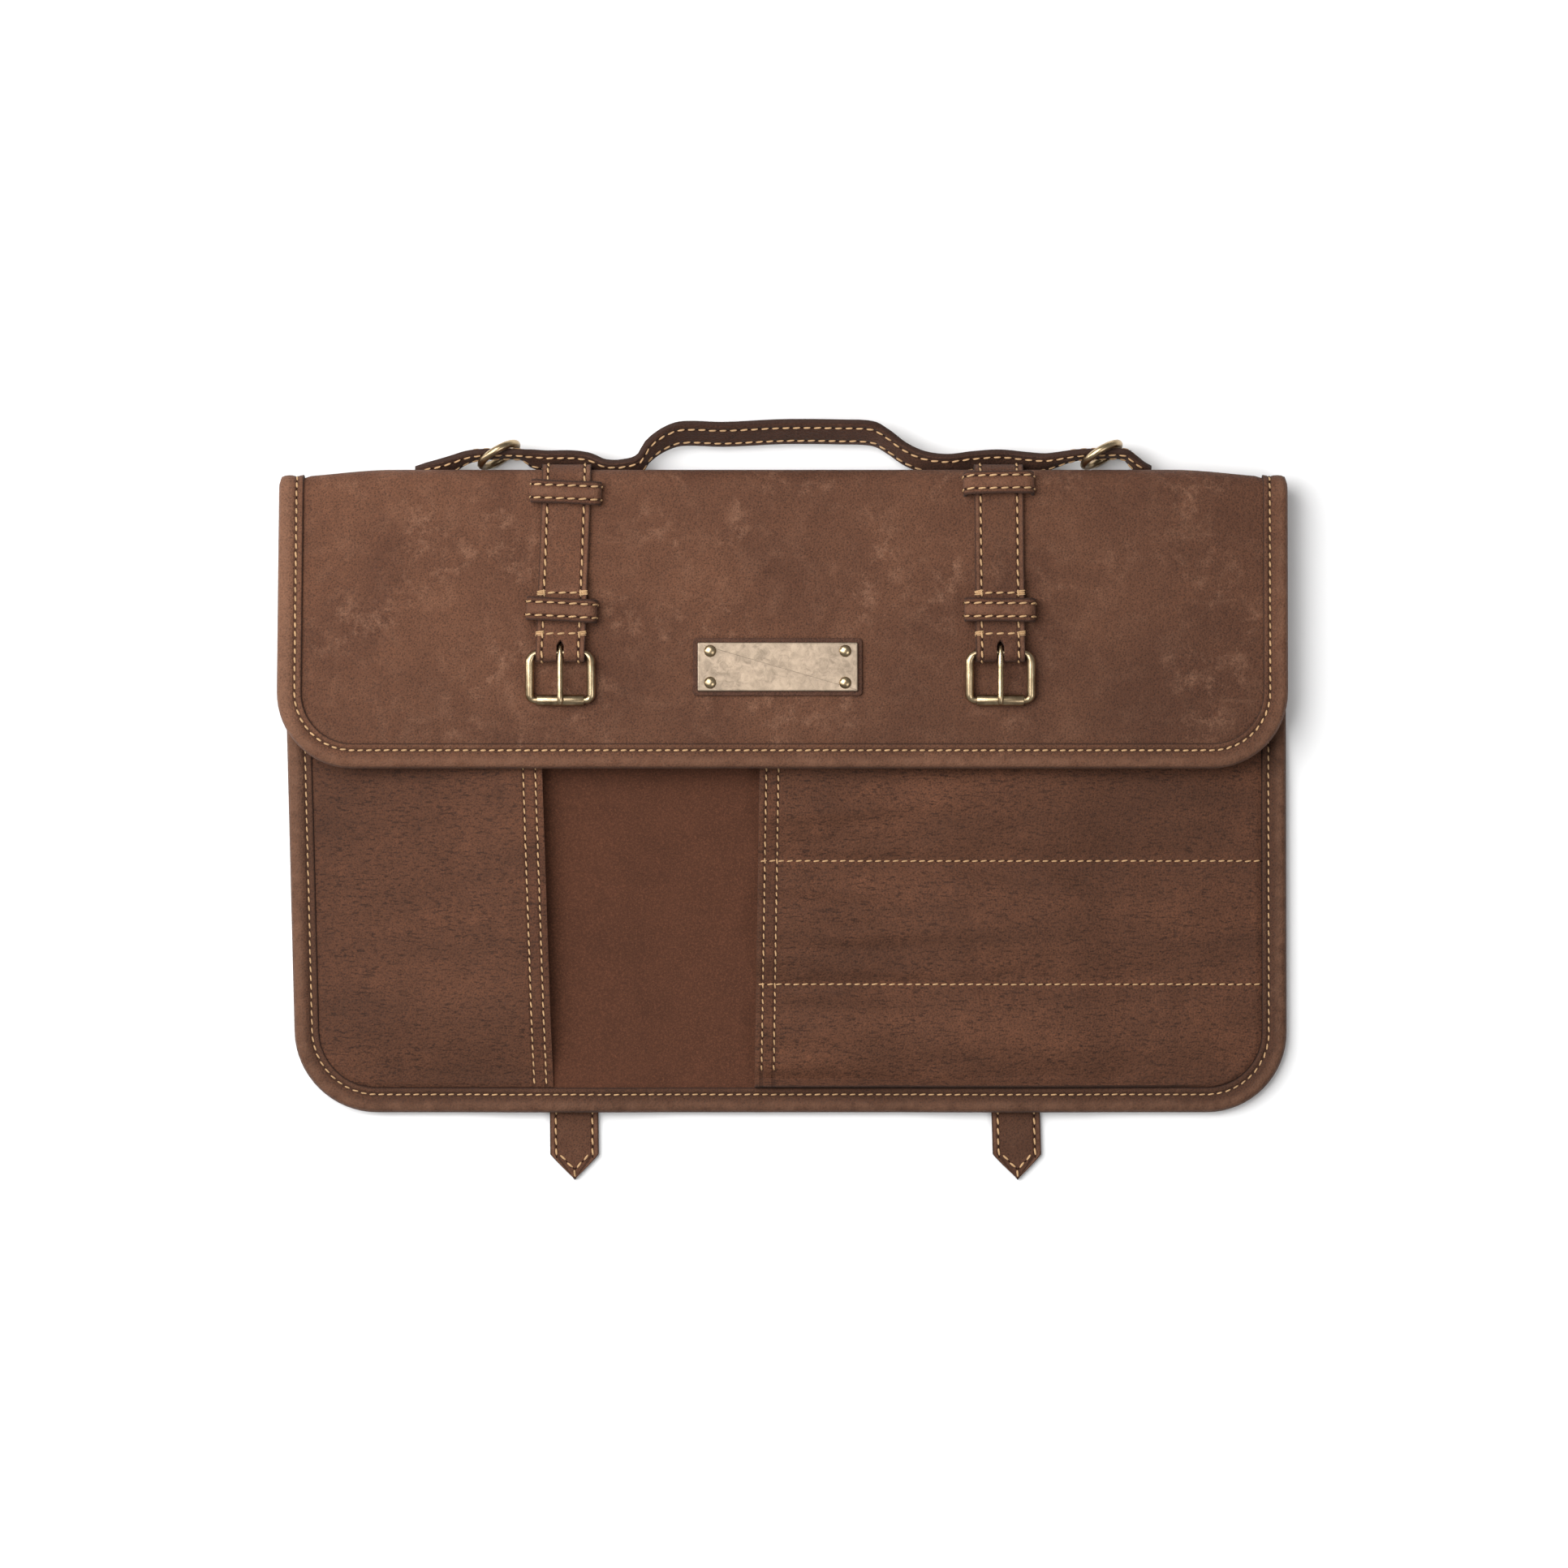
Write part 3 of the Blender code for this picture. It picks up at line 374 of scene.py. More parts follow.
def on_sheet(x, station, depth):
    """A point of the sheet, the given depth inside its outer face."""
    z = station["z"] + station["nz"] * depth
    z -= sag(x) * station["low"] + droop(x) * station["high"]
    y = station["y"] + station["ny"] * depth
    y -= END_PULL * smooth((abs(x) - 0.160) / 0.048) * smooth((station["y"] - 0.070) / 0.060)
    inward = max(0.0, abs(edge_x("left" if x < 0 else "right", station)) - abs(x))
    pressed = 0.0019 * smooth((BINDING_WIDTH + 0.0010 - inward) / 0.0020)
    y -= (pressed + 0.8 * pull_in(inward, END_ROUND)) * smooth((station["y"] - 0.125) / 0.022)
    return Vector((x, y, z))


def edge_x(side, station):
    """The outer edge of the binding at a station."""
    spine_share = EDGE_SHARES["spine"][side]
    if station["low"] == 1.0:
        share = (BASE_SPINE_Y - station["y"]) / (BASE_SPINE_Y - BASE_BOTTOM_Y)
        end_share = EDGE_SHARES["base"][side]
    elif station["high"] == 1.0:
        share = (FLAP_SPINE_Y - station["y"]) / (FLAP_SPINE_Y - FLAP_BOTTOM_Y)
        end_share = EDGE_SHARES["flap"][side]
    else:
        share = 0.0
        end_share = spine_share
    return ROLL_WIDTH * (spine_share + share * (end_share - spine_share))


def pull_in(distance, radius):
    """How far a rounded corner draws the edge in at a distance from the end."""
    if distance >= radius:
        return 0.0
    return radius - sqrt(max(0.0, radius**2 - (radius - distance) ** 2))


def corner_steps(radius, count):
    """Distances from a sheet's end through its rounded corner."""
    return [radius * (1 - cos(pi / 2 * i / count)) for i in range(count + 1)]


def sheet_rows(step):
    """Stations of the whole sheet, with the corner's draw at each."""
    low = BASE_CORNER - EDGE_INSET
    high = FLAP_CORNER - EDGE_INSET
    rows = []
    for distance in corner_steps(low, 12):
        rows.append((base(BASE_BOTTOM_Y + EDGE_INSET + distance), pull_in(distance, low)))
    for y in steps(BASE_BOTTOM_Y + BASE_CORNER, BASE_SPINE_Y, step)[1:]:
        rows.append((base(y), 0.0))
    rows += [(spine(angle), 0.0) for angle in range(-84, 90, 6)]
    for y in steps(FLAP_SPINE_Y, FLAP_BOTTOM_Y + FLAP_CORNER, step)[:-1]:
        rows.append((flap(y), 0.0))
    for distance in reversed(corner_steps(high, 12)):
        rows.append((flap(FLAP_BOTTOM_Y + EDGE_INSET + distance), pull_in(distance, high)))
    return rows


# Mesh helpers


def finish_piece(name, mesh, materials, body="roll"):
    """Puts a mesh in the scene as a finished piece that rides on its body."""
    for material in materials:
        mesh.materials.append(material)
    mesh.update()
    thing = bpy.data.objects.new(name, mesh)
    bpy.context.scene.collection.objects.link(thing)
    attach(thing, body)
    return thing


def lay_grid(name, rows, maps, holes=()):
    """An open sheet through rows of points, with two map values for each point."""
    bm = bmesh.new()
    layer = bm.loops.layers.uv.new("Cut")
    points = [[bm.verts.new(p) for p in row] for row in rows]
    for i in range(len(rows) - 1):
        for j in range(len(rows[i]) - 1):
            if (i, j) in holes:
                continue
            order = ((i, j), (i, j + 1), (i + 1, j + 1), (i + 1, j))
            face = bm.faces.new([points[a][b] for a, b in order])
            face.smooth = True
            for loop, (a, b) in zip(face.loops, order):
                loop[layer].uv = maps[a][b]
    loose = [v for v in bm.verts if not v.link_faces]
    bmesh.ops.delete(bm, geom=loose, context="VERTS")
    mesh = bpy.data.meshes.new(name)
    bm.to_mesh(mesh)
    bm.free()
    return mesh


def loft(name, rings, maps, closed):
    """A skin over rings of points, closed on itself or with its ends filled."""
    bm = bmesh.new()
    layer = bm.loops.layers.uv.new("Cut")
    points = [[bm.verts.new(p) for p in ring] for ring in rings]
    count = len(points)
    for i in range(count if closed else count - 1):
        k = (i + 1) % count
        for j in range(len(points[i])):
            m = (j + 1) % len(points[i])
            order = ((i, j), (i, m), (k, m), (k, j))
            face = bm.faces.new([points[a][b] for a, b in order])
            face.smooth = True
            for corner, (a, b) in zip(face.loops, order):
                corner[layer].uv = maps[a][b]
    if not closed:
        bm.faces.new(points[0])
        bm.faces.new(list(reversed(points[-1])))
    bmesh.ops.recalc_face_normals(bm, faces=bm.faces)
    mesh = bpy.data.meshes.new(name)
    bm.to_mesh(mesh)
    bm.free()
    return mesh


def thicken(thing, thickness, offset, round_off=0.0, skived=()):
    """Gives a sheet its thickness, thinner at skived corners, and rounds its cut edges."""
    bpy.ops.object.select_all(action="DESELECT")
    bpy.context.view_layer.objects.active = thing
    thing.select_set(True)
    wall = thing.modifiers.new("Wall", "SOLIDIFY")
    wall.thickness = thickness
    wall.offset = offset
    wall.use_even_offset = True
    if skived:
        full = thing.vertex_groups.new(name="Full")
        for number, share in enumerate(skived):
            full.add([number], share, "REPLACE")
        wall.vertex_group = "Full"
        wall.thickness_vertex_group = 0.35
    bpy.ops.object.modifier_apply(modifier="Wall")
    if round_off:
        edge = thing.modifiers.new("Edge", "BEVEL")
        edge.width = round_off
        edge.segments = 2
        edge.limit_method = "ANGLE"
        edge.angle_limit = radians(50)
        bpy.ops.object.modifier_apply(modifier="Edge")
    bpy.ops.object.shade_smooth_by_angle(angle=radians(60))
    return thing


# Materials


class Shader:
    """A material under construction: nodes are added by kind and linked by socket."""

    def __init__(self, name):
        self.material = bpy.data.materials.new(name)
        self.material.use_nodes = True
        self.tree = self.material.node_tree
        self.surface = self.tree.nodes["Principled BSDF"]
        self.place = self.tree.nodes.new("ShaderNodeTexCoord").outputs["Object"]

    def node(self, kind, inputs=(), **settings):
        made = self.tree.nodes.new("ShaderNode" + kind)
        for key, value in settings.items():
            setattr(made, key, value)
        for key, value in dict(inputs).items():
            if isinstance(value, bpy.types.NodeSocket):
                self.tree.links.new(value, made.inputs[key])
            else:
                made.inputs[key].default_value = value
        return made

    def noise(self, size, detail=3.0, rough=0.5, place=None, distortion=0.0):
        inputs = {
            "Vector": place or self.place,
            "Scale": 1.0 / size,
            "Detail": detail,
            "Roughness": rough,
            "Distortion": distortion,
        }
        return self.node("TexNoise", inputs).outputs["Fac"]

    def noise_vector(self, size, reach):
        """A small wandering offset, to break up a regular pattern."""
        inputs = {"Vector": self.place, "Scale": 1.0 / size, "Detail": 2.0}
        colour = self.node("TexNoise", inputs).outputs["Color"]
        offset = self.node("VectorMath", {0: colour, 1: (reach, reach, reach)}, operation="MULTIPLY")
        return offset.outputs[0]

    def stretch(self, scale, turn=(0, 0, 0)):
        inputs = {"Vector": self.place, "Scale": scale, "Rotation": turn}
        return self.node("Mapping", inputs).outputs["Vector"]

    def ramp(self, value, low, high, out_low=0.0, out_high=1.0):
        inputs = {
            "Value": value,
            "From Min": low,
            "From Max": high,
            "To Min": out_low,
            "To Max": out_high,
        }
        return self.node("MapRange", inputs).outputs["Result"]

    def maths(self, operation, a, b=0.0, c=0.0):
        return self.node("Math", {0: a, 1: b, 2: c}, operation=operation).outputs[0]

    def mix(self, share, a, b, blend="MIX"):
        made = self.node("Mix", {"Factor": share}, data_type="RGBA", blend_type=blend)
        for key, value in ((6, a), (7, b)):
            if isinstance(value, bpy.types.NodeSocket):
                self.tree.links.new(value, made.inputs[key])
            else:
                made.inputs[key].default_value = (*value, 1.0)
        return made.outputs[2]

    def cut(self):
        """The map value across the piece, in metres."""
        both = self.node("UVMap", uv_map="Cut").outputs[0]
        return self.node("SeparateXYZ", {0: both}).outputs[0]

    def line(self, value, middle, width):
        """1 on a line at the given map value, fading out over its width."""
        away = self.maths("ABSOLUTE", self.maths("SUBTRACT", value, middle))
        return self.ramp(away, width * 0.4, width, 1.0, 0.0)

    def bump(self, height, distance, strength=1.0, below=None):
        inputs = {"Height": height, "Distance": distance, "Strength": strength}
        if below is not None:
            inputs["Normal"] = below
        return self.node("Bump", inputs).outputs["Normal"]

    def done(self, colour, rough, normal, **constants):
        links = self.tree.links
        links.new(colour, self.surface.inputs["Base Color"])
        links.new(rough, self.surface.inputs["Roughness"])
        links.new(normal, self.surface.inputs["Normal"])
        for key, value in constants.items():
            self.surface.inputs[key.replace("_", " ")].default_value = value
        return self.material


def shade(colour, share):
    return tuple(min(1.0, c * share) for c in colour)


def leather(name, middle, dark, light, **options):
    """Brushed leather: blotches, nap, scuffs and creases with painted shade, and along its cut the grooves
    with painted shade, edges and rub.

    Options: grooves, edges and worn lines by map value, mirror, scuffs, rough, flecks, folds (painted shade
    and highlight of soft folds), rubbed_left (painted highlight on the far left edge), low_tone (painted
    shade on what lies near the floor), and tone_up (painted shade, darker towards the bottom) and
    tone_aside (darker towards one side: painted shade on the outer leathers) for slow changes over the
    roll.
    """
    grooves, edges = options.get("grooves", ()), options.get("edges", ())
    worn, mirror = options.get("worn", ()), options.get("mirror", False)
    scuffs, rough = options.get("scuffs", 0.5), options.get("rough", 0.78)
    flecks, folds = options.get("flecks", 0.0), options.get("folds", 0.0)
    low_tone = options.get("low_tone", 1.0)
    sizes = bpy.context.scene.knife_roll_leather
    colours = bpy.context.scene.knife_roll_colours
    s = Shader(name)
    blotch = s.ramp(s.noise(sizes.blotch, 4.0, 0.55, distortion=0.3), 0.33, 0.67, 0.30, 1.0)
    colour = s.mix(blotch, dark, middle)
    cloud = s.ramp(s.noise(sizes.blotch * 0.32, 6.0, 0.62, distortion=0.4), 0.50, 0.80, 0.0, 0.26 * scuffs)
    colour = s.mix(cloud, colour, light)
    haze = s.ramp(s.noise(0.0075, 9.0, 0.74), 0.50, 0.66, 0.0, 0.62 * scuffs)
    haze = s.maths("MULTIPLY", haze, s.ramp(s.noise(sizes.blotch * 0.8, 3.0, 0.5), 0.47, 0.62))
    colour = s.mix(haze, colour, light)
    scratch_place = s.stretch((28.0, 170.0, 60.0), (0.0, 0.0, 0.5))
    scratch = s.ramp(s.noise(1.0, 5.0, 0.6, scratch_place), 0.64, 0.76, 0.0, 0.26 * scuffs)
    colour = s.mix(scratch, colour, light)
    # Creases: dents in the bump, with painted shade darkening them
    crease_place = s.stretch((150.0, 46.0, 90.0), (0.0, 0.0, -0.3))
    crease = s.ramp(s.noise(1.0, 4.0, 0.6, crease_place), 0.60, 0.72, 0.0, 0.28)
    colour = s.mix(crease, colour, shade(dark, 0.75))
    if flecks:
        fleck_place = s.stretch((330.0, 1150.0, 600.0), (0.0, 0.0, 0.42))
        fleck = s.ramp(s.noise(1.0, 2.0, 0.5, fleck_place), 0.54, 0.66, 0.0, flecks)
        colour = s.mix(fleck, colour, shade(dark, 0.45))
    # Painted shade and painted highlight of soft folds: dark bands in the troughs, lighter bands beside
    # them
    if folds:
        fold_place = s.stretch((11.0, 46.0, 40.0), (0.0, 0.0, 0.05))
        fold = s.noise(1.0, 3.0, 0.5, fold_place, 0.4)
        colour = s.mix(s.ramp(fold, 0.48, 0.70, 0.0, folds), colour, shade(dark, 0.75))
        colour = s.mix(s.ramp(fold, 0.46, 0.30, 0.0, folds * 0.4), colour, light)
    nap = s.noise(sizes.nap, 3.0, 0.6)
    fibre = s.ramp(nap, 0.30, 0.70, 0.66, 1.34)
    wander = s.node("VectorMath", {0: s.place, 1: s.noise_vector(0.004, 0.0011)}, operation="ADD")
    cells = {"Vector": wander.outputs[0], "Scale": 1.0 / (sizes.nap * 1.5)}
    pores = s.node("TexVoronoi", cells).outputs["Distance"]
    pore = s.ramp(pores, 0.08, 0.46, 0.60, 1.16)
    tint = s.maths("MULTIPLY", fibre, pore)
    aside, upward, _ = s.node("SeparateXYZ", {0: s.place}).outputs
    # Painted shade: darker towards the bottom of the roll
    for start, end, out_start, out_end in options.get("tone_up", ()):
        tint = s.maths("MULTIPLY", tint, s.ramp(upward, start, end, out_start, out_end))
    # Darker towards one side: on the outer leathers this is painted shade
    for start, end, out_start, out_end in options.get("tone_aside", ()):
        tint = s.maths("MULTIPLY", tint, s.ramp(aside, start, end, out_start, out_end))
    # Painted highlight on the far left edge, where the band faces the key light
    if options.get("rubbed_left"):
        pale = s.ramp(aside, -0.2035, -0.1960, options["rubbed_left"], 0.0)
        colour = s.mix(pale, colour, light)
    # Painted shade on what lies low near the floor: darker below 9 to 19 mm height
    if low_tone != 1.0:
        up = s.node("SeparateXYZ", {0: s.place}).outputs[2]
        tint = s.maths("MULTIPLY", tint, s.ramp(up, 0.009, 0.019, low_tone, 1.0))
    grey = s.node("CombineColor", {0: tint, 1: tint, 2: tint}).outputs[0]
    colour = s.mix(1.0, colour, grey, "MULTIPLY")
    height = s.maths("ADD", s.maths("MULTIPLY", nap, 0.45), s.maths("MULTIPLY", pores, 0.75))
    height = s.maths("SUBTRACT", height, s.maths("MULTIPLY", crease, 0.6))
    roughness = s.ramp(nap, 0.3, 0.7, rough - 0.08, rough + 0.10)
    if grooves or edges or worn:
        across = s.cut()
        if mirror:
            across = s.maths("ABSOLUTE", across)
        for place, width, amount in worn:
            rub = s.ramp(s.noise(0.006, 4.0, 0.6), 0.3, 0.62, 0.15, 1.0)
            rub = s.maths("MULTIPLY", s.maths("MULTIPLY", s.line(across, place, width), rub), amount)
            colour = s.mix(rub, colour, light)
        # Painted shade along each stitch groove, laid over the groove's dent in the bump
        for place, width, amount in grooves:
            groove = s.line(across, place, width)
            colour = s.mix(s.maths("MULTIPLY", groove, amount), colour, shade(dark, 0.5))
            height = s.maths("SUBTRACT", height, s.maths("MULTIPLY", groove, 0.9))
        for start, end in edges:
            edge = s.ramp(across, start, end)
            colour = s.mix(s.maths("MULTIPLY", edge, 0.85), colour, tuple(colours.cut_edge))
    large = s.noise(0.011, 3.0, 0.5, distortion=0.5)
    normal = s.bump(large, 0.0012, 0.35)
    normal = s.bump(height, sizes.relief, 0.75, normal)
    return s.done(
        colour,
        roughness,
        normal,
        Sheen_Weight=0.04,
        Sheen_Roughness=0.5,
        Specular_IOR_Level=0.22,
    )


def suede(name, colour, light):
    """Flesh side of the leather: short fibres, softly clouded."""
    s = Shader(name)
    cloud = s.ramp(s.noise(0.018, 5.0, 0.6, distortion=0.7), 0.35, 0.68)
    tone = s.mix(cloud, shade(colour, 0.82), colour)
    fibres = s.noise(0.0007, 5.0, 0.75)
    speck = s.ramp(fibres, 0.50, 0.66, 0.0, 0.70)
    tone = s.mix(speck, tone, light)
    deep = s.ramp(fibres, 0.32, 0.48, 0.75, 0.0)
    tone = s.mix(deep, tone, shade(colour, 0.5))
    normal = s.bump(s.maths("ADD", fibres, s.noise(0.0022, 3.0, 0.6)), 0.0006, 0.8)
    roughness = s.ramp(fibres, 0.3, 0.7, 0.88, 1.0)
    return s.done(tone, roughness, normal, Sheen_Weight=0.08, Sheen_Roughness=0.6, Specular_IOR_Level=0.1)


def thread_material():
    """Waxed thread: two strands twisted together, darker where wax and dirt sit, with painted shade in the
    grooves between the strands.
    """
    colours = bpy.context.scene.knife_roll_colours
    s = Shader("waxed thread")
    strands = {"Vector": s.stretch((1, 1, 1), (0, 0, 0.8)), "Scale": 900.0, "Distortion": 1.5}
    twist = s.node("TexWave", strands).outputs["Fac"]
    tone = s.ramp(s.noise(0.012, 3.0, 0.6), 0.3, 0.7)
    colour = s.mix(tone, shade(tuple(colours.thread), 0.72), tuple(colours.thread))
    # Painted shade in the grooves between the twisted strands
    colour = s.mix(s.ramp(twist, 0.0, 0.5, 0.35, 0.0), colour, shade(tuple(colours.thread), 0.35))
    return s.done(colour, s.ramp(twist, 0.0, 1.0, 0.62, 0.5), s.bump(twist, 0.00012, 0.6))


def hole_material():
    # A dark disc of painted shade stands in for the shadow inside each hole
    s = Shader("needle hole")
    grain = s.noise(0.0006, 3.0, 0.6)
    colour = s.mix(grain, (0.016, 0.007, 0.004), (0.042, 0.019, 0.012))
    normal = s.bump(grain, 0.0001, 0.5)
    return s.done(colour, s.ramp(grain, 0.3, 0.7, 0.85, 1.0), normal, Specular_IOR_Level=0.05)


def brass_material(name, rubbed=0.5):
    """Antique brass: warm where it is rubbed, brown-black tarnish in random patches, finely pitted."""
    colours = bpy.context.scene.knife_roll_colours
    s = Shader(name)
    tarnish = s.noise(0.0060, 6.0, 0.6, distortion=0.6)
    patches = s.ramp(tarnish, 0.30 - 0.2 * (rubbed - 0.5), 0.60 - 0.2 * (rubbed - 0.5))
    colour = s.mix(patches, tuple(colours.brass_dark), tuple(colours.brass))
    bright = s.ramp(s.noise(0.0018, 5.0, 0.65), 0.52, 0.75, 0.0, 0.35)
    colour = s.mix(bright, colour, shade(tuple(colours.brass), 1.5))
    pits = s.noise(0.00045, 3.0, 0.6)
    roughness = s.ramp(tarnish, 0.35, 0.65, 0.34, 0.27)
    normal = s.bump(s.maths("ADD", pits, tarnish), 0.00005, 0.3)
    return s.done(colour, roughness, normal, Metallic=1.0)


def plate_material():
    """Pale rose brass, mottled and softly pitted."""
    colours = bpy.context.scene.knife_roll_colours
    s = Shader("name plate metal")
    mottle = s.noise(0.0032, 7.0, 0.68, distortion=0.8)
    cloud = s.noise(0.014, 3.0, 0.5)
    colour = s.mix(s.ramp(mottle, 0.34, 0.60), shade(tuple(colours.plate), 0.66), tuple(colours.plate))
    colour = s.mix(s.ramp(cloud, 0.35, 0.7, 0.0, 0.45), colour, shade(tuple(colours.plate), 1.35))
    speck = s.ramp(s.noise(0.0008, 4.0, 0.7), 0.58, 0.74, 0.0, 0.5)
    colour = s.mix(speck, colour, (0.20, 0.13, 0.09))
    roughness = s.ramp(mottle, 0.3, 0.7, 0.62, 0.50)
    return s.done(colour, roughness, s.bump(mottle, 0.00018, 0.5), Metallic=1.0)


def leather_set():
    """The leathers by name, made once."""
    if "nubuck" in FINISHES:
        return FINISHES
    c = bpy.context.scene.knife_roll_colours
    middle, dark, light = tuple(c.nubuck), tuple(c.nubuck_dark), tuple(c.nubuck_light)
    inside = tuple(c.inside)
    band = tuple(c.binding)
    deep = tuple(c.dark_leather)
    half = STRAP_WIDTH / 2
    mouths = [(place, 0.0011, 0.45) for place in MOUTH_STITCHES]
    # Painted shade: darker towards the bottom, and on the next line darker towards the right
    lower = [(0.005, 0.085, 0.85, 1.0)]
    right = [(-0.080, 0.120, 1.0, 0.90)]
    made = {
        "nubuck": leather("nubuck", middle, dark, light, scuffs=0.9, tone_up=lower, tone_aside=right),
        "pocket nubuck": leather(
            "pocket nubuck",
            inside,
            shade(inside, 0.70),
            shade(inside, 1.7),
            grooves=mouths,
            scuffs=0.6,
            flecks=0.75,
            # painted shade and highlight of soft folds
            folds=0.5,
            # darker towards the left end of the roll
            tone_aside=[(-0.200, -0.080, 0.84, 1.0)],
        ),
        "suede": suede("suede", tuple(c.suede), shade(tuple(c.suede), 1.8)),
        "binding": leather(
            "binding",
            band,
            shade(band, 0.72),
            light,
            grooves=[(BAND_STITCH, 0.0010, 0.6)],
            edges=[(BINDING_WIDTH - 0.0006, BINDING_WIDTH - 0.0002)],
            worn=[(0.0022, 0.0035, 0.35)],
            scuffs=0.6,
            # painted shade on the parts near the floor
            low_tone=0.70,
            # painted highlight on the far left edge
            rubbed_left=0.30,
            tone_up=lower,
            tone_aside=right,
        ),
        "strap": leather(
            "strap",
            middle,
            dark,
            light,
            grooves=[(half - STRAP_STITCH, 0.0010, 0.6)],
            edges=[(half - 0.0007, half - 0.0001)],
            worn=[(half - 0.0012, 0.0010, 0.3)],
            mirror=True,
            scuffs=0.6,
            # painted shade on the parts near the floor
            low_tone=0.87,
            tone_up=lower,
            # painted shade, darker towards the right
            tone_aside=[(-0.05, 0.08, 1.0, 0.82)],
        ),
        "keeper": leather(
            "keeper",
            middle,
            dark,
            light,
            grooves=[(KEEPER_LENGTH / 2 - KEEPER_STITCH, 0.0008, 0.6)],
            edges=[(KEEPER_LENGTH / 2 - 0.0013, KEEPER_LENGTH / 2 - 0.0006)],
            worn=[(0.0, 0.0020, 0.3)],
            mirror=True,
        ),
        "dark handle": leather(
            "dark handle",
            deep,
            shade(deep, 0.62),
            shade(deep, 2.3),
            grooves=[(GRIP_WIDTH / 2 - HANDLE_STITCH, 0.0011, 0.5)],
            edges=[(GRIP_WIDTH / 2 - 0.0010, GRIP_WIDTH / 2 - 0.0002)],
            mirror=True,
            scuffs=0.5,
            rough=0.70,
        ),
        "dark patch": leather("dark patch", deep, shade(deep, 0.7), shade(deep, 2.0), scuffs=0.3),
    }
    FINISHES.update(made)
    return FINISHES


def metal_set():
    if "antique brass" not in FINISHES:
        FINISHES["antique brass"] = brass_material("antique brass", 0.5)
        FINISHES["roller brass"] = brass_material("roller brass", 0.35)
        FINISHES["name plate metal"] = plate_material()
    return FINISHES


# Leather sheet


def build_layer(name, depth, thickness, material):
    step = bpy.context.scene.knife_roll_leather.mesh_step
    rows = []
    maps = []
    travelled = 0.0
    before = None
    for station, draw in sheet_rows(step):
        left = edge_x("left", station) + EDGE_INSET + draw
        right = edge_x("right", station) - EDGE_INSET - draw
        across = steps(right, left, (right - left) / round(ROLL_WIDTH / step))
        rows.append([on_sheet(x, station, depth) for x in across])
        here = Vector((station["y"], station["z"]))
        travelled += (here - before).length if before else 0.0
        before = here
        maps.append([(x, travelled) for x in across])
    thing = finish_piece(name, lay_grid(name, rows, maps), [material])
    thicken(thing, thickness, -1.0)
    return thing, travelled


def build_leather_sheet():
    leathers = leather_set()
    shell, length = build_layer("leather_outside", 0.0, SHELL_THICK, leathers["nubuck"])
    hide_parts("shell")
    finish = leathers["suede"]
    inner, inner_length = build_layer("suede_lining", LINING_OUTER, LINING_THICK, finish)
    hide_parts("lining")


# Edge binding


def band_height(inward, lower):
    """Height of the band's face over the sheet at a distance in from its outer edge."""
    pillow = 0.0002 if lower else 0.00055
    swell = pillow * sin(pi * min(1.0, inward / BAND_STITCH))
    if inward > BAND_STITCH:
        swell = pillow * 0.5 * sin(pi * min(1.0, (inward - BAND_STITCH) / (BINDING_WIDTH - BAND_STITCH)))
    groove = 0.0004 * exp(-(((inward - BAND_STITCH) / 0.0008) ** 2))
    return BINDING_THICK + swell - groove


def band_loop():
    """Once round the sheet: the outer edge point, its station and the way in from it."""
    loop = []
    corner = 16
    for side, sign in (("left", 1.0), ("right", -1.0)):
        half = []
        for i in range(corner + 1):
            a = pi / 2 * i / corner
            y = BASE_BOTTOM_Y + BASE_CORNER * (1 - cos(a))
            x = edge_x(side, base(y)) + sign * BASE_CORNER * (1 - sin(a))
            half.append((x, base(y), (sign * sin(a), cos(a))))
        for y in steps(BASE_BOTTOM_Y + BASE_CORNER, BASE_SPINE_Y, BAND_STEP)[1:]:
            half.append((edge_x(side, base(y)), base(y), (sign, 0.0)))
        for angle in range(-84, 90, 6):
            half.append((edge_x(side, spine(angle)), spine(angle), (sign, 0.0)))
        for y in steps(FLAP_SPINE_Y, FLAP_BOTTOM_Y + FLAP_CORNER, BAND_STEP)[:-1]:
            half.append((edge_x(side, flap(y)), flap(y), (sign, 0.0)))
        for i in range(corner, -1, -1):
            a = pi / 2 * i / corner
            y = FLAP_BOTTOM_Y + FLAP_CORNER * (1 - cos(a))
            x = edge_x(side, flap(y)) + sign * FLAP_CORNER * (1 - sin(a))
            half.append((x, flap(y), (sign * sin(a), cos(a))))
        loop.append(half)
    left, right = loop
    over_flap = []
    for x in steps(left[-1][0], right[-1][0], BAND_STEP)[1:-1]:
        over_flap.append((x, flap(FLAP_BOTTOM_Y), (0.0, 1.0)))
    lap_start, lap_end = BAND_JOINT_X - 0.004, BAND_JOINT_X + 0.014
    places = steps(left[0][0], lap_start, BAND_STEP)[1:-1]
    places += steps(lap_start, lap_end, 0.0005)
    places += steps(lap_end, right[0][0], BAND_STEP)[1:-1]
    over_base = [(x, base(BASE_BOTTOM_Y), (0.0, 1.0)) for x in reversed(places)]
    return left + over_flap + right[::-1] + over_base


def band_lap(x, station, inward):
    """Extra height where the band's end laps over its start, cut on the slant."""
    if station["low"] < 1.0 or station["y"] > BASE_BOTTOM_Y + BINDING_WIDTH:
        return 0.0
    past = x - (BAND_JOINT_X + 0.65 * inward)
    return 0.0007 * (1.0 - smooth(past / 0.022)) * smooth(past / 0.0004)


def band_point(place, inward, depth):
    x, station, (in_x, in_y) = place
    moved = dict(station, y=station["y"] + in_y * inward)
    return on_sheet(x + in_x * inward, moved, depth)


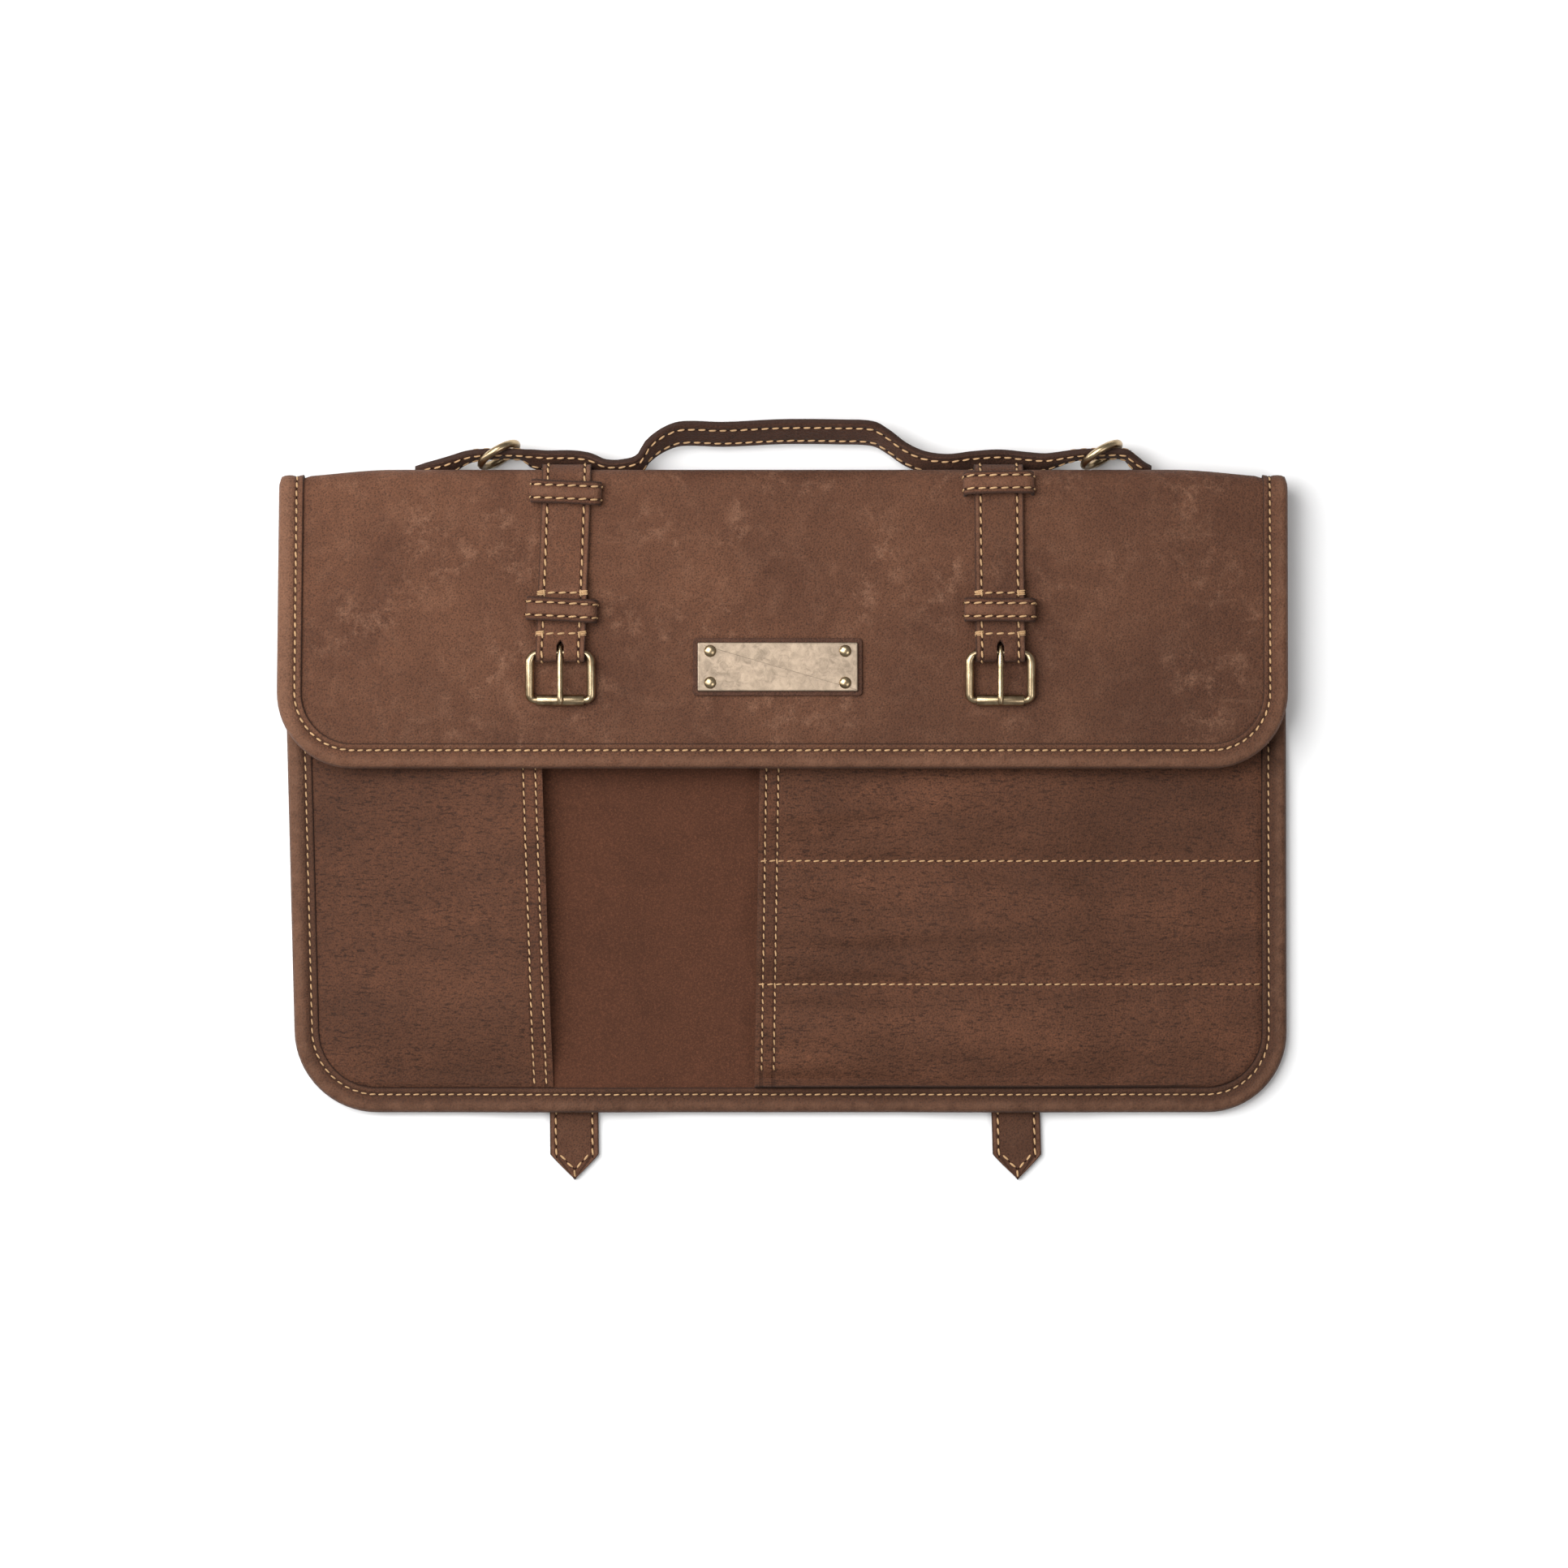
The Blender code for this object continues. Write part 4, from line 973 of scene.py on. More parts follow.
def band_section(place):
    """The folded band in section: distance in, depth in the sheet and the map value across."""
    x, station, _ = place
    end = BINDING_WIDTH
    inwards = [0.0011, 0.0024, 0.0040, 0.0056, BAND_STITCH - 0.0009, BAND_STITCH, BAND_STITCH + 0.0009]
    inwards += [end - 0.0009, end - 0.0003]
    section = []
    for inward in inwards:
        section.append((inward, -GAP - band_height(inward, station["low"] > 0.5), inward))
    section.append((end, -GAP - BINDING_THICK + 0.0003, end))
    section.append((end, -GAP, end))
    section.append((BINDING_THICK, -GAP, end))
    section.append((BINDING_THICK, SHEET_STACK + GAP, end))
    section.append((end, SHEET_STACK + GAP, end))
    section.append((end, SHEET_STACK + GAP + BINDING_THICK - 0.0003, end))
    for inward in reversed(inwards):
        lift = band_lap(x, station, inward)
        depth = SHEET_STACK + GAP + band_height(inward, station["high"] > 0.5) + lift
        section.append((inward, depth, inward))
    middle = SHEET_STACK / 2
    half = middle + GAP + BINDING_THICK
    for angle in (55, 20, -20, -55):
        a = radians(angle)
        section.append((0.0016 * (1 - cos(a)), middle + half * 0.95 * sin(a), 0.0))
    return section


def build_binding():
    leathers = leather_set()
    rings = []
    values = []
    travelled = 0.0
    before = None
    for place in band_loop():
        section = band_section(place)
        rings.append([band_point(place, inward, depth) for inward, depth, _ in section])
        here = band_point(place, BAND_STITCH, 0.0)
        travelled += (here - before).length if before else 0.0
        before = here
        values.append([(cut, travelled) for _, _, cut in section])
    mesh = loft("edge_band", rings, values, True)
    band = finish_piece("edge_band", mesh, [leathers["binding"]])
    bpy.ops.object.select_all(action="DESELECT")
    bpy.context.view_layer.objects.active = band
    band.select_set(True)
    bpy.ops.object.shade_smooth_by_angle(angle=radians(65))
    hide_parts("edge_binding")


# Pockets


def mouth_x(side, y):
    middle = LEFT_MOUTH_X if side == "left" else RIGHT_MOUTH_X
    slant = LEFT_MOUTH_SLANT if side == "left" else RIGHT_MOUTH_SLANT
    return middle + slant * (0.5 - (y - POCKET_LOW) / (POCKET_TOP_Y - POCKET_LOW))


def pocket_rows():
    rows = [(POCKET_LOW + d, pull_in(d, POCKET_CORNER)) for d in corner_steps(POCKET_CORNER, 10)]
    rows += [(y, 0.0) for y in steps(POCKET_LOW + POCKET_CORNER, POCKET_TOP_Y, 0.0022)[1:]]
    return rows


def left_rise(x, y):
    """How far the left pocket's leather stands over its floor."""
    edge = edge_x("left", base(y)) + BINDING_WIDTH + GAP + pull_in(y - POCKET_LOW, POCKET_CORNER)
    mouth = mouth_x("left", y)
    arch = smooth((min(y - POCKET_LOW, POCKET_TOP_Y - y) - SEAM_FLAT) / 0.030) ** 0.7
    wide = min(1.0, max(0.0, (x - edge - SEAM_FLAT) / (mouth - edge - SEAM_FLAT)))
    ripple = 0.10 * noise.noise(Vector((x * 26, y * 17, 4.0))) * wide
    return POCKET_CROWN * arch * (sin(pi / 2 * wide) ** 0.8) * (0.92 + ripple)


def right_rise(x, y):
    """Height of the right pocket's sleeves: crowned between the divider seams, puckered beside them."""
    pucker = bpy.context.scene.knife_roll_leather.pucker
    edge = edge_x("right", base(y)) - BINDING_WIDTH - GAP - pull_in(y - POCKET_LOW, POCKET_CORNER)
    mouth = mouth_x("right", y)
    stops = [POCKET_LOW + 0.0018, *SLEEVE_SEAMS, POCKET_TOP_Y - 0.0018]
    low = max([stop for stop in stops if stop <= y], default=stops[0])
    high = min([stop for stop in stops if stop > y], default=stops[-1])
    share = (y - low) / max(1e-6, high - low)
    flat = 0.0012 / max(1e-6, high - low)
    share = min(1.0, max(0.0, (share - flat) / (1 - 2 * flat)))
    arch = sin(pi * share) ** 1.1 if 0.0 < share < 1.0 else 0.0
    deep = max(0.0, (edge - SEAM_FLAT - x) / (edge - SEAM_FLAT - mouth))
    crown = POCKET_CROWN * SLEEVE_SHARE * arch * (0.3 + 0.7 * deep) * min(1.0, 8 * deep)
    near = min(y - low, high - y)
    fold = noise.noise(Vector((x * 60, y * 90, 1.0))) + 0.5 * noise.noise(Vector((x * 130, y * 160, 7.0)))
    fold *= pucker * smooth(near / 0.003) * exp(-max(0.0, near - 0.003) / 0.009) * min(1.0, 8 * deep)
    long_fold = noise.noise(Vector((x * 9, y * 95, 2.0)))
    long_fold += 0.5 * noise.noise(Vector((x * 22, y * 210, 5.0)))
    wave = 2.0 * pucker * long_fold * smooth(near / 0.006) * (0.25 + 0.75 * smooth(2.2 * deep - 0.9))
    return max(0.0, crown * 0.97 + fold + wave)


def pocket_top(side, x, y):
    rise = left_rise(x, y) if side == "left" else right_rise(x, y)
    return on_sheet(x, base(y), POCKET_FLOOR + rise + POCKET_THICK)


def build_pocket(side, node):
    rise_at = left_rise if side == "left" else right_rise
    columns = 44 if side == "left" else 84
    rows = []
    maps = []
    skived = []
    for y, draw in pocket_rows():
        mouth = mouth_x(side, y)
        if side == "left":
            start, end = edge_x("left", base(y)) + BINDING_WIDTH + 0.0001 + draw, mouth
            shares = [0.0, 0.006, 0.014, 0.026] + [i / columns for i in range(2, columns + 1)]
        else:
            start, end = mouth, edge_x("right", base(y)) - BINDING_WIDTH - 0.0001 - draw
            shares = [i / columns for i in range(columns - 1)] + [0.987, 0.993, 0.997, 1.0]
        across = [start + (end - start) * share for share in shares]
        sewn = start if side == "left" else end
        for x in across:
            inward = min(abs(x - sewn), y - POCKET_LOW + 0.0002)
            skived.append(smooth(inward / 0.0022))
        rows.append([on_sheet(x, base(y), POCKET_FLOOR + rise_at(x, y)) for x in across])
        maps.append([(abs(x - mouth), y) for x in across])
    name = f"pocket_{side}"
    leathers = leather_set()
    thing = finish_piece(name, lay_grid(name, rows, maps), [leathers["pocket nubuck"]])
    thicken(thing, POCKET_THICK, 1.0, 0.00045, skived)
    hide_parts(node)


def build_pockets():
    build_pocket("left", "left_pocket")
    build_pocket("right", "right_pocket")


# Straps


def strap_shift(side, y):
    """How far a strap has leaned aside on the flap at a distance up from its buckle."""
    return STRAP_LEAN[side] * min(1.0, max(0.0, (y - BAR_Y) / (FLAP_SPINE_Y - BAR_Y)))


def strap_path(side):
    """Middle line of a strap, from its turned-in end round the buckle bar and the spine to its point."""
    turn_y = BAR_Y + STRAP_TURN_IN
    slot_y = BAR_Y + STRAP_SLOT_REACH
    meet_y = slot_y + STRAP_SLOT_REACH / 2
    path = []
    for y in steps(turn_y, slot_y, 0.003)[:-1]:
        path.append({"y": y, "z": LAYER_LOW, "slot": False, "turned": True})
    for y in steps(slot_y, BAR_Y, 0.0015)[:-1]:
        path.append({"y": y, "z": LAYER_LOW, "slot": True, "turned": True})
    for i in range(17):
        a = pi / 2 + pi * i / 16
        path.append({"y": BAR_Y + LOOP_RADIUS * cos(a), "z": BAR_Z - LOOP_RADIUS * sin(a), "slot": True})
    top = BAR_Z + LOOP_RADIUS
    for y in steps(BAR_Y, meet_y, 0.001)[1:]:
        z = top + (LAYER_HIGH - top) * smooth((y - BAR_Y) / (meet_y - BAR_Y))
        past = y - BAR_Y - SLOT_SHOWN
        path.append({"y": y, "z": z, "slot": past < -0.0005, "end": past >= -0.0015})
    for y in steps(meet_y, turn_y + 2 * GAP, 0.003)[1:]:
        path.append({"y": y, "z": LAYER_HIGH, "slot": False})
    ramp_start = turn_y + 2 * GAP
    for y in steps(ramp_start, turn_y + STRAP_RAMP, 0.001)[1:]:
        fall = smooth((y - ramp_start) / (STRAP_RAMP - 2 * GAP))
        path.append({"y": y, "z": LAYER_HIGH + (LAYER_LOW - LAYER_HIGH) * fall, "slot": False})
    for y in steps(turn_y + STRAP_RAMP, FLAP_SPINE_Y, 0.003)[1:]:
        path.append({"y": y, "z": LAYER_LOW, "slot": False})
    out = GAP + STRAP_THICK / 2
    under = SHEET_Z - STRAP_THICK / 2
    for angle in range(84, -90, -6):
        station = spine(angle)
        depth = -out - (under - out) * station["low"]
        point = on_sheet(STRAP_MIDDLES[0], station, depth)
        path.append({"y": point.y, "z": point.z, "slot": False})
    end_y = BASE_BOTTOM_Y - STRAP_BEYOND_BASE
    shoulder_y = end_y + STRAP_POINT
    for y in steps(BASE_SPINE_Y, shoulder_y, 0.004):
        path.append({"y": y, "z": STRAP_THICK / 2, "slot": False})
    for share in (0.08, 0.2, 0.35, 0.5, 0.65, 0.8, 0.9, 0.96, 1.0):
        path.append({"y": shoulder_y - STRAP_POINT * share, "z": STRAP_THICK / 2, "slot": False})
    for place in path:
        on_base = place["z"] <= STRAP_THICK / 2 + 1e-9
        under = (BASE_SPINE_Y - place["y"]) / (BASE_SPINE_Y - end_y) if on_base else 0.0
        turned_under = on_base or place["z"] < FLAP_Z
        lean = STRAP_LEAN[side] if turned_under else strap_shift(side, place["y"])
        place["shift"] = STRAP_X[side] + lean + (STRAP_DRIFT[side] - lean) * under
        place["under"] = under
        past = max(0.0, (shoulder_y - place["y"]) / STRAP_POINT) if on_base else 0.0
        place["width"] = max(0.07, 1.0 - 0.97 * past**1.08)
    return path


def build_strap(side):
    path = strap_path(side)
    rows = []
    maps = []
    holes = set()
    travelled = 0.0
    for i, place in enumerate(path):
        shift = place["shift"]
        slotted = SLOT_HALF / STRAP_WIDTH
        if place.get("end") and place["y"] < BAR_Y + SLOT_SHOWN + 0.001:
            slotted *= max(0.15, min(1.0, (BAR_Y + SLOT_SHOWN - place["y"]) / 0.0015))
        near_slot = place["slot"] or (i and path[i - 1]["slot"])
        columns = [c / abs(c) * slotted if near_slot and abs(c) == 0.14 else c for c in STRAP_COLUMNS]
        rows.append([(shift + STRAP_WIDTH * c * place["width"], place["y"], place["z"]) for c in columns])
        if i:
            travelled += hypot(place["y"] - path[i - 1]["y"], place["z"] - path[i - 1]["z"])
        maps.append([(STRAP_WIDTH * c, travelled) for c in columns])
        if place["slot"]:
            holes |= {(i, 4), (i, 5)}
    name = f"strap_{side}"
    mesh = lay_grid(name + "_leather", rows, maps, holes)
    thing = finish_piece(name + "_leather", mesh, [leather_set()["strap"]])
    thicken(thing, STRAP_THICK, 0.0, 0.0005)
    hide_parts(name)


# Keepers


def keeper_station(name):
    if name == "right_upper":
        return spine(RIGHT_KEEPER_ANGLE)
    return flap(LEFT_KEEPER_Y if name == "left_upper" else LOWER_KEEPER_Y)


def keeper_frame(name):
    """Middle of a keeper's foot and its three directions: across, along the strap and out."""
    station = keeper_station(name)
    out = Vector((0.0, -station["ny"], -station["nz"]))
    across = Vector((1.0, 0.0, 0.0))
    across.rotate(Matrix.Rotation(radians(KEEPER_TURN[name]), 3, out))
    side = name.split("_")[0]
    middle = on_sheet(STRAP_X[side] + strap_shift(side, station["y"]), station, -GAP)
    return middle, across, out.cross(across), out


def keeper_arch(name):
    """A keeper's middle line from foot to foot, as distances across and out."""
    layers = STRAP_THICK + GAP
    if name.endswith("lower"):
        layers = LAYER_HIGH + STRAP_THICK / 2 - FLAP_Z
    rise = layers + KEEPER_ROOM + KEEPER_THICK / 2 - GAP
    half = STRAP_WIDTH / 2 + KEEPER_SIDE - KEEPER_THICK / 2
    side = [(half, z) for z in steps(0.0, rise - KEEPER_CORNER, 0.0012)[:-1]]
    for i in range(9):
        a = pi / 2 * i / 8
        side.append((half - KEEPER_CORNER * (1 - cos(a)), rise - KEEPER_CORNER * (1 - sin(a))))
    for x in steps(half - KEEPER_CORNER, 0.0, 0.002)[1:-1]:
        side.append((x, rise + 0.0004 * (1 - (x / half) ** 2) - 0.0001))
    side.append((0.0, rise + 0.0003))
    return side + [(-x, z) for x, z in reversed(side[:-1])]


def keeper_roll_over(share, height):
    """How far a keeper's cut edges roll over towards the strap."""
    return KEEPER_ROLL_OVER * abs(2 * share) ** 3 * min(1.0, height / KEEPER_CUFF)


def build_keeper(name):
    middle, across, along, out = keeper_frame(name)
    arch = keeper_arch(name)
    rows = []
    maps = []
    for share in (-0.5, -0.44, -0.25, 0.0, 0.25, 0.44, 0.5):
        row = []
        cuts = []
        travelled = 0.0
        for i, (x, z) in enumerate(arch):
            travelled += hypot(x - arch[i - 1][0], z - arch[i - 1][1]) if i else 0.0
            pinch = 1.0 - 0.05 * (1 - abs(x) / 0.014)
            rolled = z - keeper_roll_over(share, z)
            row.append(middle + across * x + along * (share * KEEPER_LENGTH * pinch) + out * rolled)
            cuts.append((share * KEEPER_LENGTH, travelled))
        rows.append(row)
        maps.append(cuts)
    mesh = lay_grid(f"keeper_{name}_leather", rows, maps)
    thing = finish_piece(f"keeper_{name}_leather", mesh, [leather_set()["keeper"]])
    thicken(thing, KEEPER_THICK, 0.0, 0.00035)
    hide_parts(f"keeper_{name}")


# Handle


def handle_values(along):
    """The strip's settings between its knots, on a smooth curve through them."""
    last = len(HANDLE_KNOTS) - 1
    i = 0
    while i < last - 1 and HANDLE_KNOTS[i + 1][0] <= along:
        i += 1
    before, here = HANDLE_KNOTS[max(0, i - 1)], HANDLE_KNOTS[i]
    there, after = HANDLE_KNOTS[i + 1], HANDLE_KNOTS[min(last, i + 2)]
    span = there[0] - here[0]
    t = min(1.0, max(0.0, (along - here[0]) / span))
    values = []
    for k in range(1, 5):
        slope_a = (there[k] - before[k]) / (there[0] - before[0]) * span
        slope_b = (after[k] - here[k]) / (after[0] - here[0]) * span
        a = 2 * t**3 - 3 * t**2 + 1
        b = t**3 - 2 * t**2 + t
        c = -2 * t**3 + 3 * t**2
        d = t**3 - t**2
        values.append(a * here[k] + b * slope_a + c * there[k] + d * slope_b)
    return values


def handle_section(along):
    """Middle point of the strip, its way up across the strip and its width."""
    strap, ring, grip, taper = handle_values(along)

    def mixed(sewn, at_ring, at_grip):
        return sewn + ring * (at_ring - sewn) + min(1.0, grip) * (at_grip - sewn)

    x = HANDLE_LENGTH * (along - 0.5)
    lean = radians(mixed(HANDLE_LEAN, RING_LEAN, GRIP_LEAN))
    z = mixed(HANDLE_Z, RING_RADIUS + RING_WIRE + GAP, GRIP_Z)
    width = mixed(HANDLE_WIDTH, RING_STRIP_WIDTH, GRIP_WIDTH) * taper
    support = hypot(SPINE_REACH_LOW * cos(lean), SPINE_RISE_LOW * sin(lean))
    below = SPINE_RISE_LOW * sin(lean) / support
    strap_crest = STRAP_THICK + GAP + below * (SHEET_Z - STRAP_THICK - GAP)
    stand = GAP + sag(x) * below * sin(lean) + HANDLE_THICK / 2
    stand += strap * strap_crest + ring * RING_STAND + grip * GRIP_REACH
    line = BASE_SPINE_Y * cos(lean) - EQUATOR_Z * sin(lean) + support + stand
    y = (line + z * sin(lean)) / cos(lean)
    lean += radians(GRIP_EXTRA_LEAN) * min(1.0, max(0.0, grip))
    return Vector((x, y, z)), Vector((0.0, sin(lean), cos(lean))), width


def handle_places():
    """Stations along the strip with its face direction, which turns with the strip's curve."""
    places = []
    shares = steps(0.0, 1.0, 1.0 / 200)
    for along in shares:
        ahead, behind = min(1.0, along + 0.002), max(0.0, along - 0.002)
        middle, up, width = handle_section(along)
        tangent = (handle_section(ahead)[0] - handle_section(behind)[0]).normalized()
        face = up.cross(tangent).normalized()
        if face.y > 0:
            face = -face
        places.append((middle, up, face, width, tangent))
    return places


def build_handle():
    half = HANDLE_THICK / 2
    outline = [(-0.5, 0.45), (-0.47, 0.86), (-0.40, 0.98), (-0.25, 1.05), (0.0, 1.08), (0.25, 1.05)]
    outline += [(0.40, 0.98), (0.47, 0.86), (0.5, 0.45)]
    outline += [(c, -t) for c, t in reversed(outline)]
    rings = []
    values = []
    travelled = 0.0
    places = handle_places()
    before = places[0][0]
    for middle, up, face, width, _ in places:
        travelled += (middle - before).length
        before = middle
        rings.append([middle + up * (c * width) + face * (t * half) for c, t in outline])
        values.append([(GRIP_WIDTH * c if abs(c) > 0.45 else width * c, travelled) for c, _ in outline])
    mesh = loft("handle_strip", rings, values, False)
    thing = finish_piece("handle_strip", mesh, [leather_set()["dark handle"]])
    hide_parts("handle")


# Metal fittings, shaped in edit mode


def new_start():
    bpy.ops.object.select_all(action="DESELECT")


def pick(thing, mode, test):
    """Selects the faces, edges or corners that pass a test, in edit mode."""
    bpy.ops.object.mode_set(mode="EDIT")
    bpy.ops.mesh.select_mode(type=mode)
    bpy.ops.mesh.select_all(action="DESELECT")
    bm = bmesh.from_edit_mesh(thing.data)
    parts = {"FACE": bm.faces, "EDGE": bm.edges, "VERT": bm.verts}[mode]
    for part in parts:
        if test(part):
            part.select_set(True)
    bm.select_flush_mode()
    bmesh.update_edit_mesh(thing.data)


def settle(thing, name, material, body, nodes=(), angle=40):
    """Applies the piece's place, shades it and hangs it on its body."""
    bpy.ops.object.mode_set(mode="OBJECT")
    thing.name = name
    bpy.ops.object.transform_apply(location=True, rotation=True, scale=True)
    thing.data.materials.clear()
    thing.data.materials.append(material)
    bpy.ops.object.shade_smooth_by_angle(angle=radians(angle))
    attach(thing, body)
    if nodes:
        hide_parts(*nodes)
    return thing


def place_on_bar(thing, side):
    thing.location = (STRAP_X[side], BAR_Y, BAR_Z)
    thing.rotation_euler = (BUCKLE_TILT, 0.0, 0.0)


def build_buckle_frame(side):
    """A rectangle of edges with rounded corners, given its wire."""
    new_start()
    bpy.ops.mesh.primitive_plane_add(size=1.0)
    thing = bpy.context.object
    thing.scale = (BUCKLE_WIDTH - 2 * WIRE_RADIUS, BUCKLE_LENGTH, 1.0)
    thing.location = (0.0, -BUCKLE_LENGTH / 2, 0.0)
    bpy.ops.object.transform_apply(location=True, rotation=True, scale=True)
    pick(thing, "VERT", lambda v: v.co.y > -BUCKLE_LENGTH / 2)
    bpy.ops.mesh.bevel(offset=BUCKLE_TOP_CORNER, segments=7, affect="VERTICES")
    inner = BUCKLE_WIDTH / 2 - WIRE_RADIUS - 1e-5
    pick(thing, "VERT", lambda v: abs(v.co.x) > inner and v.co.y < -BUCKLE_LENGTH + 1e-5)
    bpy.ops.mesh.bevel(offset=BUCKLE_LOW_CORNER, segments=5, affect="VERTICES")
    pick(thing, "FACE", lambda f: True)
    bpy.ops.mesh.delete(type="ONLY_FACE")
    bpy.ops.object.mode_set(mode="OBJECT")
    bpy.ops.object.convert(target="CURVE")
    thing = bpy.context.object
    thing.data.bevel_depth = SHOWN_WIRE
    thing.data.bevel_resolution = 5
    bpy.ops.object.convert(target="MESH")
    thing = bpy.context.object
    stouten(thing)
    place_on_bar(thing, side)
    metal = metal_set()["antique brass"]
    settle(thing, f"brass_frame_{side}", metal, f"buckle_{side}", [f"buckle_frame_{side}"])


def stouten(thing):
    """Thickens the frame's two sides about their middle lines, fading out through the corners."""
    reach = BUCKLE_WIDTH / 2 - WIRE_RADIUS
    for v in thing.data.vertices:
        hand = 1.0 if v.co.x > 0 else -1.0
        below, above = -v.co.y, v.co.y + BUCKLE_LENGTH
        middle = Vector((hand * reach, v.co.y, 0.0))
        for along, corner in ((below, BUCKLE_TOP_CORNER), (above, BUCKLE_LOW_CORNER)):
            if along < corner and along is min(below, above):
                turn_y = -corner if along is below else corner - BUCKLE_LENGTH
                centre = Vector((hand * (reach - corner), turn_y, 0.0))
                away = Vector((v.co.x, v.co.y, 0.0)) - centre
                if away.x * hand > 0:
                    middle = centre + away.normalized() * corner
                else:
                    middle = None
        if middle is not None:
            grow = SIDE_STOUTNESS * smooth(min(-middle.y, middle.y + BUCKLE_LENGTH) / 0.0023)
            v.co = middle + (v.co - middle) * (1.0 + grow)


def prong_path():
    """The prong's middle line with its radius: hooked round the bar, then over the roller."""
    eye = WIRE_RADIUS + GAP + PRONG_EYE_RADIUS
    rest = SHOWN_ROLLER + GAP + PRONG_RADIUS
    path = []
    for angle in range(-110, 85, 15):
        a = radians(angle)
        path.append((eye * cos(a), eye * sin(a), PRONG_EYE_RADIUS))
    crest = eye + 0.3 * PRONG_EYE_RADIUS
    path.append((-WIRE_RADIUS, crest, PRONG_RADIUS * 0.92))
    for share in (0.22, 0.35, 0.5, 0.65, 0.8, 0.9, 1.0):
        path.append((-BUCKLE_LENGTH * share, crest + (rest - crest) * smooth(share), PRONG_RADIUS))
    path.append((-BUCKLE_LENGTH - PRONG_BEYOND * 0.6, rest - PRONG_BEYOND * 0.15, PRONG_RADIUS * 0.86))
    path.append((-BUCKLE_LENGTH - PRONG_BEYOND, rest - PRONG_BEYOND * 0.3, PRONG_RADIUS * 0.5))
    return path


def build_prong(side):
    """A ring of edges drawn out point by point along the prong's line."""
    path = prong_path()
    new_start()
    sides = bpy.context.scene.knife_roll_metal.wire_sides
    (y, z, radius), (y1, z1, _) = path[0], path[1]
    heading = atan2(z1 - z, y1 - y)
    bpy.ops.mesh.primitive_circle_add(vertices=sides, radius=radius, fill_type="NGON")
    thing = bpy.context.object
    thing.rotation_euler = (pi / 2 + heading, 0.0, 0.0)
    thing.location = (0.0, y, z)
    bpy.ops.object.transform_apply(location=True, rotation=True, scale=True)
    bpy.ops.object.mode_set(mode="EDIT")
    bpy.ops.mesh.select_mode(type="FACE")
    bpy.ops.mesh.select_all(action="SELECT")
    for i in range(1, len(path)):
        y, z, radius = path[i]
        before = path[i - 1]
        after = path[min(i + 1, len(path) - 1)]
        new_heading = atan2(after[1] - before[1], after[0] - before[0])
        step = Vector((0.0, y - before[0], z - before[1]))
        bpy.ops.mesh.extrude_region_move(TRANSFORM_OT_translate={"value": step})
        bm = bmesh.from_edit_mesh(thing.data)
        chosen = [v for v in bm.verts if v.select]
        turn = Matrix.Rotation(new_heading - heading, 3, "X")
        centre = Vector((0.0, y, z))
        bmesh.ops.rotate(bm, verts=chosen, cent=centre, matrix=turn)
        bmesh.update_edit_mesh(thing.data)
        grow = radius / before[2]
        bpy.ops.transform.resize(value=(grow, grow, grow), center_override=centre)
        heading = new_heading
    bpy.ops.mesh.select_all(action="SELECT")
    bpy.ops.mesh.normals_make_consistent(inside=False)
    bpy.ops.object.mode_set(mode="OBJECT")
    place_on_bar(thing, side)
    metal = metal_set()["antique brass"]
    settle(thing, f"brass_prong_{side}", metal, f"prong_{side}", [f"buckle_prong_{side}"])


def build_roller(side):
    """A tube with a wall, its ends rounded over."""
    new_start()
    bpy.ops.mesh.primitive_cylinder_add(
        vertices=32, radius=SHOWN_ROLLER, depth=ROLLER_LENGTH, end_fill_type="NOTHING"
    )
    thing = bpy.context.object
    thing.rotation_euler = (0.0, pi / 2, 0.0)
    bpy.ops.object.transform_apply(location=True, rotation=True, scale=True)
    wall = thing.modifiers.new("Wall", "SOLIDIFY")
    wall.thickness = SHOWN_ROLLER - ROLLER_BORE
    wall.offset = -1.0
    bpy.ops.object.modifier_apply(modifier="Wall")
    edge = thing.modifiers.new("Edge", "BEVEL")
    edge.width = 0.00018
    edge.segments = 2
    edge.limit_method = "ANGLE"
    edge.angle_limit = radians(60)
    bpy.ops.object.modifier_apply(modifier="Edge")
    thing.data.transform(Matrix.Translation((0.0, -BUCKLE_LENGTH, 0.0)))
    place_on_bar(thing, side)
    metal = metal_set()["roller brass"]
    node = f"buckle_roller_{side}"
    settle(thing, f"brass_roller_{side}", metal, f"roller_{side}", [node])


